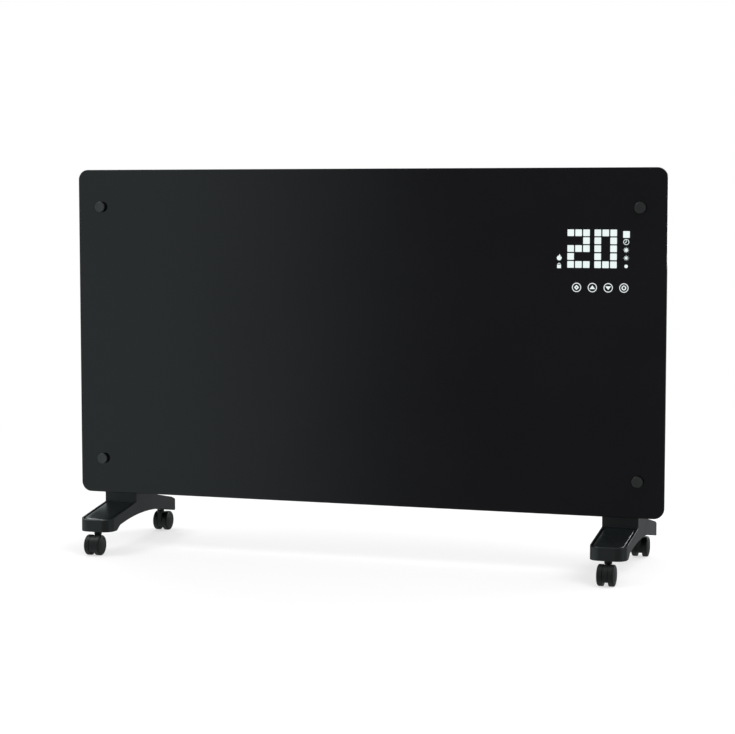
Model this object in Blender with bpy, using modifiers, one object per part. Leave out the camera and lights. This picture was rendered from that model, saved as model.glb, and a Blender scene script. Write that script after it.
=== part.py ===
"""Glass panel heater on two castor feet, as separate pieces.

Sizes are in metres. +X is to the right seen from the front, +Y goes back, +Z is up.
The origin lies on the floor, midway between the castors.
"""

import math

import bmesh
import bpy
from mathutils import Matrix, Vector

# Clearances
GAP = 0.0003
PAST = 0.001
RUNNING_GAP = 0.0004
SHEET = 0.0012

# Glass front
GLASS_WIDTH = 0.830
GLASS_HEIGHT = 0.4532
GLASS_THICKNESS = 0.004
GLASS_CORNER_R = 0.014
GLASS_FRONT_Y = -0.035
GLASS_ABOVE_PAD = 0.0437
GLASS_EDGE_CHAMFER = 0.0006

# Studs that hold the glass
STUD_INSET_SIDE = 0.0344
STUD_INSET_TOP = 0.0515
STUD_INSET_BOTTOM = 0.048
STUD_R = 0.0073
STUD_PROUD = 0.0055
STUD_CHAMFER = 0.0006
STUD_SHANK_R = 0.003
STUD_PAST_CHASSIS = 0.002
GROMMET_R = 0.0075
GROMMET_WALL = 0.0012
GROMMET_LIP = 0.0006

# Casing
CASING_SIDE_MARGIN = 0.018
CASING_TOP_MARGIN = 0.014
CASING_BOTTOM_MARGIN = 0.008
CASING_DEPTH = 0.052
CASING_CORNER_R = 0.008
GLASS_STANDOFF = 0.007
FLANGE_TO_GRILLE = 0.0018
SLOT_WIDTH = 0.0035
SLOT_LENGTH = 0.056
SLOT_PITCH_X = 0.070
SLOT_PITCH_Z = 0.010
SLOT_ROWS = 3
LOWER_SLOTS_FROM_CASING_BOTTOM = 0.045
UPPER_SLOTS_FROM_CASING_TOP = 0.045
SLOT_COLUMNS = 8
SLOT_FIELD_SHIFT = -0.040
INLET_SLOT_LENGTH = 0.030
INLET_SLOT_COUNT = 20
INLET_PITCH = 0.027
CASING_SCREW_R = 0.0015
CASING_SCREW_HEAD_R = 0.0032
CASING_SCREW_HEAD_H = 0.0014
CASING_SCREW_LENGTH = 0.006
CASING_SCREW_INSET_X = 0.060
CASING_SCREW_INSET_Z = 0.012

# Outlet grille in the top of the casing
GRILLE_LENGTH = 0.700
GRILLE_WIDTH = 0.032
GRILLE_LIP = 0.004
GRILLE_LIP_T = 0.0015
GRILLE_BODY_DEPTH = 0.006
GRILLE_SLOTS = 96
GRILLE_SLOT_WIDTH = 0.0035
GRILLE_RIM = 0.004
GRILLE_CORNER_R = 0.003
GRILLE_BODY_CORNER_R = 0.001

# Heating elements
ELEMENT_LENGTH = 0.500
ELEMENT_CENTRE_X = -0.045
ELEMENT_SPAN = 0.036
ELEMENT_FIN_T = 0.0022
ELEMENT_ROD_R = 0.0045
ELEMENT_ROD_STUB = 0.022
ELEMENT_LOWER_FROM_CASING_BOTTOM = 0.032
ELEMENT_PITCH_Z = 0.048
BRACKET_T = 0.0015
BRACKET_INSET = 0.010
BRACKET_FLANGE = 0.012
BRACKET_MARGIN = 0.014

# Display behind the glass, from the glass's right and top edges to its middle
DISPLAY_FROM_RIGHT = 0.097
DISPLAY_FROM_TOP = 0.120
DISPLAY_WIDTH = 0.116
DISPLAY_HEIGHT = 0.094
MASK_DEPTH = 0.0040
BOARD_T = 0.0016
CELL_PITCH = 0.0103
CELL_WEB = 0.0013
CELL_ROWS = 5
CELL_COLUMNS = 3
DIGIT_CENTRES_FROM_RIGHT = (0.1153, 0.0797)
DIGITS_FROM_TOP = 0.1044
DISPLAY_CORNER_R = 0.003
CABLE_WINDOW = (0.030, 0.012)
CABLE_WINDOW_R = 0.002

# Control electronics, by their middle
CONTROL_X = 0.318
CONTROL_WIDTH = 0.100
CONTROL_HEIGHT = 0.080
CONTROL_DEPTH = 0.026
CONTROL_WALL = 0.0018
CONTROL_FROM_CASING_BOTTOM = 0.150
COMPONENTS = (
    (0.011, 0.010, 0.022, 0.016, 0.015),
    (0.043, 0.010, 0.022, 0.016, 0.015),
    (0.017, 0.037, 0.030, 0.026, 0.017),
)
TERMINAL_SIZE = (0.044, 0.014, 0.020)
TERMINAL_X = 0.300
TERMINAL_WAYS = 4
TERMINAL_WELL_DEPTH = 0.006
TERMINAL_WELL_SHARE = 0.6
TERMINAL_FROM_CASING_BOTTOM = 0.062
TIP_SWITCH_SIZE = (0.030, 0.018, 0.026)
TIP_SWITCH_X = 0.250
PROBE_R = 0.0028
PROBE_LENGTH = 0.024
PROBE_X = -0.355
PROBE_BASE = (0.012, 0.008, 0.004)
CUTOUT_R = 0.008
CUTOUT_DEPTH = 0.010
CUTOUT_PLATE = (0.034, 0.014)
CUTOUT_PLATE_T = 0.001
CUTOUT_FROM_ELEMENT = 0.032

# Mains switch and cord outlet on the back
SWITCH_X = 0.345
SWITCH_FROM_CASING_BOTTOM = 0.075
SWITCH_BEZEL = (0.015, 0.021)
SWITCH_BEZEL_T = 0.0018
SWITCH_BODY_DEPTH = 0.014
SWITCH_WALL = 0.0018
SWITCH_BEZEL_RIM = 0.001
SWITCH_BEZEL_CORNER_R = 0.0015
SWITCH_CUTOUT_CORNER_R = 0.0008
SWITCH_WELL_DEPTH = 0.010
ROCKER_HALF_HEIGHT = 0.0062
ROCKER_CROWN = 0.0030
ROCKER_DIP = 0.0014
ROCKER_TIP_DEG = 8.0
ROCKER_PIVOT_BELOW_BEZEL = 0.0014
ROCKER_EDGE = 0.0006
ROCKER_SHOULDER = 0.001
ROCKER_KEEL = (0.0035, 0.003)
BUSHING_FROM_CASING_BOTTOM = 0.024
BUSHING_FLANGE_R = 0.0085
BUSHING_BODY_R = 0.006
BUSHING_BORE_R = 0.0036
BUSHING_FLANGE_T = 0.003
BUSHING_LENGTH = 0.012
BUSHING_CHAMFER = 0.001

# Feet
FOOT_CENTRE_X = 0.357
FOOT_WIDTH = 0.048
FOOT_END_R = 0.014
FOOT_FRONT_Y = -0.116
FOOT_REAR_Y = 0.1145
FOOT_KNEE_Y = 0.092
FOOT_ARCH_R = 0.440
FOOT_ARCH_CROWN_Y = -0.006
FOOT_FRONT_PAD_BACK_Y = -0.0937
FOOT_FRONT_NOTCH_Y = -0.084
FOOT_WALL = 0.003
FOOT_POCKET_RIB = 0.003
FOOT_EDGE = 0.001
FOOT_REAR_ROUND = (0.0075, 0.006)
FOOT_REAR_BEND = (0.0025, 0.004)
FOOT_ARCH_STEPS = 12
STEM_BOSS_R = 0.008
PAD_ABOVE_WHEELS = 0.004
FRONT_TOP_ABOVE_PAD = 0.0162
SLOPE_TOP_ABOVE_PAD = 0.0302
SHOULDER_ABOVE_PAD = 0.0343
KNEE_ABOVE_PAD = 0.0210
REAR_TOP_ABOVE_PAD = 0.0095
CROWN_ABOVE_PAD = 0.0131
COVER_MARGIN = 0.0028
COVER_GROOVE = 0.0004
COVER_NECK_GAP = 0.004
COVER_SMALLEST_R = 0.002
COVER_T = 0.0025
COVER_PROUD = 0.0004
FOOT_SCREW_R = 0.0024
FOOT_SCREW_HEAD_R = 0.0044
FOOT_SCREW_HEAD_H = 0.003
FOOT_SCREW_SPREAD = 0.015
FOOT_SCREW_FLOOR = 0.006
FOOT_SCREW_ABOVE_SEAT = 0.005

# Castors
STEM_Y = 0.1045
STEM_R = 0.0024
STEM_GRIP_R = 0.0028
STEM_TOP_ABOVE_PAD = 0.0125
STEM_BOTTOM_ABOVE_AXLE = 0.0065
STEM_TAPER = 0.001
STEM_GRIP_INSET = 0.003
STEM_TIP = 0.0008
TRAIL = 0.0095
WHEEL_R = 0.014
WHEEL_WIDTH = 0.0079
WHEEL_DOME = 0.0008
WHEEL_DOME_SHARE = 0.55
WHEEL_EDGE_R = 0.0018
HOOD_WIDTH = 0.007
HOOD_INSET = 0.0005
HOOD_OPEN_BELOW_AXLE = 0.0076
COLLAR_R = 0.0051
COLLAR_TOP_GAP = 0.0008
COLLAR_CHAMFER = 0.0005
HOOD_NECK_WALL = 0.0016
HOOD_NECK_INSET = 0.0001
HOOD_NECK_OVERLAP = 0.001
AXLE_R = 0.0015
AXLE_IN_WHEEL = 0.005

# Facets
FINE = 6
MEDIUM = 16
ROUND = 24

# Worked out from the sizes above
FOOT_PAD_Z = 2 * WHEEL_R + PAD_ABOVE_WHEELS
FOOT_FRONT_TOP_Z = FOOT_PAD_Z + FRONT_TOP_ABOVE_PAD
FOOT_SLOPE_TOP_Z = FOOT_PAD_Z + SLOPE_TOP_ABOVE_PAD
FOOT_REAR_SHOULDER_Z = FOOT_PAD_Z + SHOULDER_ABOVE_PAD
FOOT_REAR_TOP_Z = FOOT_PAD_Z + REAR_TOP_ABOVE_PAD
FOOT_REAR_KNEE = (FOOT_KNEE_Y, FOOT_PAD_Z + KNEE_ABOVE_PAD)
FOOT_ARCH_CROWN = (FOOT_ARCH_CROWN_Y, FOOT_PAD_Z + CROWN_ABOVE_PAD)
STEM_TOP_Z = FOOT_PAD_Z + STEM_TOP_ABOVE_PAD
STEM_BOTTOM_Z = WHEEL_R + STEM_BOTTOM_ABOVE_AXLE
HOOD_R = WHEEL_R - HOOD_INSET
HOOD_OPEN_Z = WHEEL_R - HOOD_OPEN_BELOW_AXLE
GLASS_BOTTOM_Z = FOOT_PAD_Z + GLASS_ABOVE_PAD
GLASS_BACK_Y = GLASS_FRONT_Y + GLASS_THICKNESS
GLASS_TOP_Z = GLASS_BOTTOM_Z + GLASS_HEIGHT
CASING_HALF = GLASS_WIDTH / 2 - CASING_SIDE_MARGIN
CASING_BOTTOM_Z = GLASS_BOTTOM_Z + CASING_BOTTOM_MARGIN
CASING_TOP_Z = GLASS_TOP_Z - CASING_TOP_MARGIN
CASING_HEIGHT = CASING_TOP_Z - CASING_BOTTOM_Z
CASING_MID_Z = (CASING_TOP_Z + CASING_BOTTOM_Z) / 2
CASING_FRONT_Y = GLASS_BACK_Y + GLASS_STANDOFF
CASING_BACK_Y = CASING_FRONT_Y + CASING_DEPTH
CHASSIS_BACK_Y = CASING_FRONT_Y + SHEET
PANEL_INNER_Y = CASING_BACK_Y - SHEET
CASING_FLOOR_Z = CASING_BOTTOM_Z + SHEET
CASING_MID_Y = (CHASSIS_BACK_Y + PANEL_INNER_Y) / 2
CHASSIS_FLANGE = CASING_MID_Y - GRILLE_WIDTH / 2 - FLANGE_TO_GRILLE - CHASSIS_BACK_Y
NECK_FRONT_Y = GLASS_BACK_Y + 2 * GAP
NECK_TOP_Z = CASING_BOTTOM_Z - GAP
STUD_X = GLASS_WIDTH / 2 - STUD_INSET_SIDE
STUD_PLACES = {
    "tl": (-STUD_X, GLASS_TOP_Z - STUD_INSET_TOP),
    "tr": (STUD_X, GLASS_TOP_Z - STUD_INSET_TOP),
    "bl": (-STUD_X, GLASS_BOTTOM_Z + STUD_INSET_BOTTOM),
    "br": (STUD_X, GLASS_BOTTOM_Z + STUD_INSET_BOTTOM),
}
GLASS_HOLE_R = STUD_SHANK_R + GAP + GROMMET_WALL + GAP
WHEEL_INNER_X = HOOD_WIDTH / 2 + RUNNING_GAP
SIDES = {"left": -1, "right": 1}
ENDS = {"front": -1, "rear": 1}

for old in list(bpy.data.objects):
    bpy.data.objects.remove(old, do_unlink=True)

scene = bpy.context.scene
heater = bpy.data.collections.new("glass_panel_heater")
cutters = bpy.data.collections.new("cutters")
scene.collection.children.link(heater)
scene.collection.children.link(cutters)


def material(name, colour, roughness, metallic=0.0):
    made = bpy.data.materials.new(name)
    made.use_nodes = True
    shader = made.node_tree.nodes["Principled BSDF"]
    shader.inputs["Base Color"].default_value = (*colour, 1.0)
    shader.inputs["Roughness"].default_value = roughness
    shader.inputs["Metallic"].default_value = metallic
    return made


GLASS = material("black_glass", (0.008, 0.009, 0.009), 0.06)
STUD = material("stud_metal", (0.03, 0.03, 0.032), 0.45)
FOOT_PLASTIC = material("foot_plastic", (0.03, 0.031, 0.032), 0.5)
CASTOR_PLASTIC = material("castor_plastic", (0.02, 0.02, 0.021), 0.5)
STEEL = material("steel", (0.55, 0.55, 0.56), 0.35, 1.0)
CASING_PAINT = material("casing_paint", (0.025, 0.025, 0.026), 0.55)
GRILLE_PLASTIC = material("grille_plastic", (0.02, 0.02, 0.02), 0.55)
ALUMINIUM = material("aluminium", (0.7, 0.7, 0.7), 0.4, 1.0)
RUBBER = material("rubber", (0.015, 0.015, 0.015), 0.8)
BOARD = material("circuit_board", (0.01, 0.09, 0.04), 0.6)
MODULE_PLASTIC = material("module_plastic", (0.6, 0.6, 0.57), 0.5)


def add(name, mesh, paint, collection=heater):
    """A new object, with its material, holding this mesh."""
    obj = bpy.data.objects.new(name, mesh)
    collection.objects.link(obj)
    mesh.materials.clear()
    mesh.materials.append(paint)
    mesh.shade_smooth()
    mesh.set_sharp_from_angle(angle=math.radians(35))
    if collection is cutters:
        obj.hide_render = True
        obj.display_type = "WIRE"
    return obj


def mesh_from(name, build):
    """A mesh made by build, which fills a bmesh."""
    shape = bmesh.new()
    build(shape)
    mesh = bpy.data.meshes.new(name)
    shape.to_mesh(mesh)
    shape.free()
    return mesh


def box(name, low, high, paint=CASING_PAINT, collection=heater):
    low, high = Vector(low), Vector(high)
    place = Matrix.Translation((low + high) / 2) @ Matrix.Diagonal((*(high - low), 1.0))
    mesh = mesh_from(name, lambda shape: bmesh.ops.create_cube(shape, size=1.0, matrix=place))
    return add(name, mesh, paint, collection)


def boxes(name, corners, paint=CASING_PAINT, collection=cutters):
    """Several boxes that don't meet, in one object."""

    def build(shape):
        for low, high in corners:
            low, high = Vector(low), Vector(high)
            place = Matrix.Translation((low + high) / 2) @ Matrix.Diagonal((*(high - low), 1.0))
            bmesh.ops.create_cube(shape, size=1.0, matrix=place)

    return add(name, mesh_from(name, build), paint, collection)


AXIS_TURN = {
    "x": Matrix.Rotation(math.pi / 2, 4, "Y"),
    "y": Matrix.Rotation(-math.pi / 2, 4, "X"),
    "z": Matrix.Identity(4),
}


def rods(name, places, radius, length, axis, paint=STEEL, collection=heater, segments=ROUND):
    """Cylinders centred on places, in one object."""

    def build(shape):
        for place in places:
            bmesh.ops.create_cone(
                shape,
                cap_ends=True,
                segments=segments,
                radius1=radius,
                radius2=radius,
                depth=length,
                matrix=Matrix.Translation(place) @ AXIS_TURN[axis],
            )

    return add(name, mesh_from(name, build), paint, collection)


def turned(name, profile, place, axis, paint, segments=ROUND, collection=heater, flip=False):
    """A profile of (radius, height) points, from its low end to its high end, turned round an axis."""
    mesh = bpy.data.meshes.new(name)
    points = [(radius, 0.0, height) for radius, height in profile]
    edges = [(i, i + 1) for i in range(len(points) - 1)]
    mesh.from_pydata(points[::-1], edges, [])
    obj = add(name, mesh, paint, collection)
    screw = obj.modifiers.new("turn", "SCREW")
    screw.axis = "Z"
    screw.steps = segments
    screw.render_steps = segments
    screw.use_merge_vertices = True
    screw.merge_threshold = 0.000001
    way = Matrix.Rotation(math.pi, 4, "X") if flip else Matrix.Identity(4)
    obj.matrix_world = Matrix.Translation(place) @ AXIS_TURN[axis] @ way
    return settle(obj)


def settle(obj):
    """Applies an object's modifiers and puts its shape in world coordinates, with the origin at zero."""
    bpy.context.view_layer.update()
    graph = bpy.context.evaluated_depsgraph_get()
    made = bpy.data.meshes.new_from_object(obj.evaluated_get(graph))
    made.transform(obj.matrix_world)
    obj.modifiers.clear()
    old = obj.data
    obj.data = made
    obj.matrix_world = Matrix.Identity(4)
    bpy.data.meshes.remove(old)
    made.name = obj.name
    return obj


PLANE_TURN = {
    "xz": Matrix.Rotation(math.pi / 2, 4, "X"),
    "yz": Matrix(((0, 0, 1, 0), (1, 0, 0, 0), (0, 1, 0, 0), (0, 0, 0, 1))),
    "xy": Matrix.Identity(4),
}


def flat(name, outlines, plane, low, high, paint=CASING_PAINT, collection=heater):
    """A flat outline, with any holes as further outlines, extruded between two levels on the third axis."""
    curve = bpy.data.curves.new(name, "CURVE")
    curve.dimensions = "2D"
    curve.fill_mode = "BOTH"
    curve.extrude = (high - low) / 2
    for outline in outlines:
        spline = curve.splines.new("POLY")
        spline.points.add(len(outline) - 1)
        spline.use_cyclic_u = True
        for point, (u, v) in zip(spline.points, outline, strict=True):
            point.co = (u, v, 0.0, 1.0)
    guide = bpy.data.objects.new(name + "_outline", curve)
    scene.collection.objects.link(guide)
    middle = (low + high) / 2
    offset = {"xz": (0, middle, 0), "yz": (middle, 0, 0), "xy": (0, 0, middle)}[plane]
    guide.matrix_world = Matrix.Translation(offset) @ PLANE_TURN[plane]
    bpy.context.view_layer.update()
    graph = bpy.context.evaluated_depsgraph_get()
    mesh = bpy.data.meshes.new_from_object(guide.evaluated_get(graph))
    mesh.transform(guide.matrix_world)
    bpy.data.objects.remove(guide, do_unlink=True)
    bpy.data.curves.remove(curve)
    shape = bmesh.new()
    shape.from_mesh(mesh)
    bmesh.ops.remove_doubles(shape, verts=shape.verts, dist=1e-6)
    bmesh.ops.recalc_face_normals(shape, faces=shape.faces)
    shape.to_mesh(mesh)
    shape.free()
    mesh.name = name
    return add(name, mesh, paint, collection)


def combine(obj, other, operation):
    """Cuts, joins or intersects obj with a helper, which is kept as a cutter."""
    for held in list(other.users_collection):
        held.objects.unlink(other)
    cutters.objects.link(other)
    other.hide_render = True
    other.display_type = "WIRE"
    modifier = obj.modifiers.new(operation.lower(), "BOOLEAN")
    modifier.operation = operation
    modifier.object = other
    return obj


def cut(obj, *others):
    for other in others:
        combine(obj, other, "DIFFERENCE")
    return obj


def join(obj, *others):
    for other in others:
        combine(obj, other, "UNION")
    return obj


def pierced(name, outline, holes, plane, low, high, paint=CASING_PAINT):
    """An extruded outline with holes that go right through it."""
    plate = flat(name, [outline], plane, low, high, paint)
    return cut(plate, flat(f"{name}_holes", holes, plane, low - SHEET, high + SHEET))


def arc(centre, radius, start_deg, end_deg, steps):
    """Points along an arc, both ends included."""
    angles = [math.radians(start_deg + (end_deg - start_deg) * i / steps) for i in range(steps + 1)]
    return [(centre[0] + radius * math.cos(a), centre[1] + radius * math.sin(a)) for a in angles]


def rounded(centre, width, height, radius, steps=FINE):
    """A rectangle with round corners, counter-clockwise."""
    x, y = width / 2 - radius, height / 2 - radius
    points = []
    for sx, sy, start in ((1, 1, 0), (-1, 1, 90), (-1, -1, 180), (1, -1, 270)):
        points += arc((centre[0] + sx * x, centre[1] + sy * y), radius, start, start + 90, steps)
    return points


def rectangle(centre, width, height):
    """A rectangle with square corners, counter-clockwise."""
    (u, v), du, dv = centre, width / 2, height / 2
    return [(u - du, v - dv), (u + du, v - dv), (u + du, v + dv), (u - du, v + dv)]


def slot_outline(centre, length, width):
    """A slot with round ends, its length along the first axis."""
    reach = (length - width) / 2
    right = arc((centre[0] + reach, centre[1]), width / 2, -90, 90, 3)
    return right + arc((centre[0] - reach, centre[1]), width / 2, 90, 270, 3)


def circle(centre, radius, steps=ROUND):
    return arc(centre, radius, 0, 360 * (steps - 1) / steps, steps - 1)


def at_joint(obj, point):
    """Moves an object's origin to a point on its joint's axis, leaving its shape where it is."""
    settle(obj)
    obj.data.transform(Matrix.Translation(-Vector(point)))
    obj.location = point
    return obj


def slot_rows(first_z, direction):
    """Centres of a field of slots on the back."""
    half = (SLOT_COLUMNS - 1) / 2
    return [
        (SLOT_FIELD_SHIFT + (column - half) * SLOT_PITCH_X, first_z + direction * row * SLOT_PITCH_Z)
        for row in range(SLOT_ROWS)
        for column in range(SLOT_COLUMNS)
    ]


def foot_screw_places(side):
    """(x, y) of the two screws that hold a foot to the casing."""
    middle_y = (NECK_FRONT_Y + CASING_BACK_Y) / 2
    return [(side * FOOT_CENTRE_X, middle_y + way * FOOT_SCREW_SPREAD) for way in (-1, 1)]


def casing_screw_places():
    x = CASING_HALF - CASING_SCREW_INSET_X
    low, high = CASING_BOTTOM_Z + CASING_SCREW_INSET_Z, CASING_TOP_Z - CASING_SCREW_INSET_Z
    return {"tl": (-x, high), "tr": (x, high), "bl": (-x, low), "br": (x, low)}


def make_glass():
    centre = (0.0, GLASS_BOTTOM_Z + GLASS_HEIGHT / 2)
    outline = rounded(centre, GLASS_WIDTH, GLASS_HEIGHT, GLASS_CORNER_R)
    holes = [circle(place, GLASS_HOLE_R, MEDIUM) for place in STUD_PLACES.values()]
    glass = pierced("front_glass", outline, holes, "xz", GLASS_FRONT_Y, GLASS_BACK_Y, GLASS)
    bevel = glass.modifiers.new("ground_edge", "BEVEL")
    bevel.width = GLASS_EDGE_CHAMFER
    bevel.segments = 1
    bevel.limit_method = "ANGLE"
    bevel.angle_limit = math.radians(60)


def make_studs():
    head_back = GLASS_FRONT_Y - GROMMET_LIP - 2 * GAP
    head_front = GLASS_FRONT_Y - STUD_PROUD
    shank_end = CHASSIS_BACK_Y + STUD_PAST_CHASSIS
    profile = [
        (0.0, head_front),
        (STUD_R - STUD_CHAMFER, head_front),
        (STUD_R, head_front + STUD_CHAMFER),
        (STUD_R, head_back),
        (STUD_SHANK_R, head_back),
        (STUD_SHANK_R, shank_end),
        (0.0, shank_end),
    ]
    inner = STUD_SHANK_R + GAP
    hole = inner + GROMMET_WALL
    spacer_back = CASING_FRONT_Y - GAP
    bush = [
        (inner, GLASS_FRONT_Y - GAP - GROMMET_LIP),
        (STUD_R - STUD_CHAMFER, GLASS_FRONT_Y - GAP - GROMMET_LIP),
        (STUD_R - STUD_CHAMFER, GLASS_FRONT_Y - GAP),
        (hole, GLASS_FRONT_Y - GAP),
        (hole, GLASS_BACK_Y + GAP),
        (GROMMET_R, GLASS_BACK_Y + GAP),
        (GROMMET_R, spacer_back),
        (inner, spacer_back),
        (inner, GLASS_FRONT_Y - GAP - GROMMET_LIP),
    ]
    for key, (x, z) in STUD_PLACES.items():
        turned(f"glass_stud_{key}", profile, (x, 0, z), "y", STUD)
        turned(f"glass_grommet_{key}", bush, (x, 0, z), "y", RUBBER, MEDIUM)


def make_chassis():
    centre = (0.0, CASING_MID_Z)
    width = 2 * CASING_HALF
    plate_outline = rounded(centre, width, CASING_HEIGHT, CASING_CORNER_R, 4)
    stud_holes = [circle(place, STUD_SHANK_R + GAP, 12) for place in STUD_PLACES.values()]
    window_at = (GLASS_WIDTH / 2 - DISPLAY_FROM_RIGHT, GLASS_TOP_Z - DISPLAY_FROM_TOP)
    window = rounded(window_at, *CABLE_WINDOW, CABLE_WINDOW_R, 2)
    holes = [*stud_holes, window]
    plate = pierced("chassis_plate", plate_outline, holes, "xz", CASING_FRONT_Y, CHASSIS_BACK_Y)
    inset = 2 * (SHEET + GAP)
    flange_outline = rounded(centre, width - inset, CASING_HEIGHT - inset, CASING_CORNER_R - inset / 2, 4)
    thin = inset + 2 * SHEET
    flange_hole = rounded(centre, width - thin, CASING_HEIGHT - thin, CASING_CORNER_R - thin / 2, 4)
    flange = flat(
        "chassis_flange",
        [flange_outline, flange_hole],
        "xz",
        CHASSIS_BACK_Y - SHEET / 2,
        CHASSIS_BACK_Y + CHASSIS_FLANGE,
    )
    join(plate, flange)
    passages = [(x, y, CASING_FLOOR_Z) for side in SIDES.values() for x, y in foot_screw_places(side)]
    cut(plate, screw_passages("chassis_screw_notches", passages))


def screw_passages(name, places):
    """Short holes for the foot screws, through the casing's floor and the chassis flange over it."""
    return rods(name, places, FOOT_SCREW_R + GAP, 6 * SHEET, "z", collection=cutters, segments=12)


def make_rear_casing():
    centre = (0.0, CASING_MID_Z)
    width = 2 * CASING_HALF
    outer = rounded(centre, width, CASING_HEIGHT, CASING_CORNER_R, 4)
    inner = rounded(centre, width - 2 * SHEET, CASING_HEIGHT - 2 * SHEET, CASING_CORNER_R - SHEET, 4)
    front_y = CHASSIS_BACK_Y + GAP
    holes = [
        slot_outline(place, SLOT_LENGTH, SLOT_WIDTH)
        for place in slot_rows(CASING_BOTTOM_Z + LOWER_SLOTS_FROM_CASING_BOTTOM, 1)
        + slot_rows(CASING_TOP_Z - UPPER_SLOTS_FROM_CASING_TOP, -1)
    ]
    switch_at = (SWITCH_X, CASING_BOTTOM_Z + SWITCH_FROM_CASING_BOTTOM)
    body = [side - SWITCH_WALL + 2 * GAP for side in SWITCH_BEZEL]
    holes.append(rounded(switch_at, *body, SWITCH_CUTOUT_CORNER_R, 2))
    bushing_at = (SWITCH_X, CASING_BOTTOM_Z + BUSHING_FROM_CASING_BOTTOM)
    holes.append(circle(bushing_at, BUSHING_BODY_R + GAP))
    holes += [circle(place, CASING_SCREW_R + GAP, 12) for place in casing_screw_places().values()]
    walls = flat("rear_casing", [outer], "xz", front_y, CASING_BACK_Y)
    cut(walls, flat("casing_hollow", [inner], "xz", front_y - SHEET, PANEL_INNER_Y))
    cut(walls, flat("casing_back_cuts", holes, "xz", PANEL_INNER_Y - SHEET, CASING_BACK_Y + SHEET))
    inlets = []
    for i in range(INLET_SLOT_COUNT):
        x = SLOT_FIELD_SHIFT + (i - (INLET_SLOT_COUNT - 1) / 2) * INLET_PITCH
        low = (x - SLOT_WIDTH / 2, CASING_MID_Y - INLET_SLOT_LENGTH / 2, CASING_BOTTOM_Z - SHEET)
        high = (x + SLOT_WIDTH / 2, CASING_MID_Y + INLET_SLOT_LENGTH / 2, CASING_FLOOR_Z + SHEET)
        inlets.append((low, high))
    grille_x, grille_y = GRILLE_LENGTH / 2 + GAP, GRILLE_WIDTH / 2 + GAP
    outlet = (
        (-grille_x, CASING_MID_Y - grille_y, CASING_TOP_Z - 2 * SHEET),
        (grille_x, CASING_MID_Y + grille_y, CASING_TOP_Z + SHEET),
    )
    cut(walls, boxes("casing_air_cuts", [*inlets, outlet]))
    screws = [(x, y, CASING_BOTTOM_Z) for side in SIDES.values() for x, y in foot_screw_places(side)]
    cut(walls, screw_passages("casing_screw_cuts", screws))


def make_top_grille():
    """A plastic strip with a lip that lies on the casing and a slotted body that drops into it."""
    length, width = GRILLE_LENGTH + 2 * GRILLE_LIP, GRILLE_WIDTH + 2 * GRILLE_LIP
    lip_low = CASING_TOP_Z + GAP
    centre = (0.0, CASING_MID_Y)
    lip = rounded(centre, length, width, GRILLE_CORNER_R, 3)
    body = rounded(centre, GRILLE_LENGTH, GRILLE_WIDTH, GRILLE_BODY_CORNER_R, 1)
    pitch = (GRILLE_LENGTH - 2 * GRILLE_RIM) / GRILLE_SLOTS
    slots = []
    for i in range(GRILLE_SLOTS):
        x = (i - (GRILLE_SLOTS - 1) / 2) * pitch
        slots.append(rectangle((x, CASING_MID_Y), GRILLE_SLOT_WIDTH, GRILLE_WIDTH - 2 * GRILLE_RIM))
    grille = pierced("top_grille", lip, slots, "xy", lip_low, lip_low + GRILLE_LIP_T, GRILLE_PLASTIC)
    rim_hole = rectangle(centre, GRILLE_LENGTH - GRILLE_RIM, GRILLE_WIDTH - GRILLE_RIM)
    rim = flat(
        "grille_rim",
        [body, rim_hole],
        "xy",
        lip_low - GRILLE_BODY_DEPTH,
        lip_low + GRILLE_LIP_T / 2,
        GRILLE_PLASTIC,
    )
    join(grille, rim)


def element_places():
    first = CASING_BOTTOM_Z + ELEMENT_LOWER_FROM_CASING_BOTTOM
    return {"lower": first, "upper": first + ELEMENT_PITCH_Z}


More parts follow.
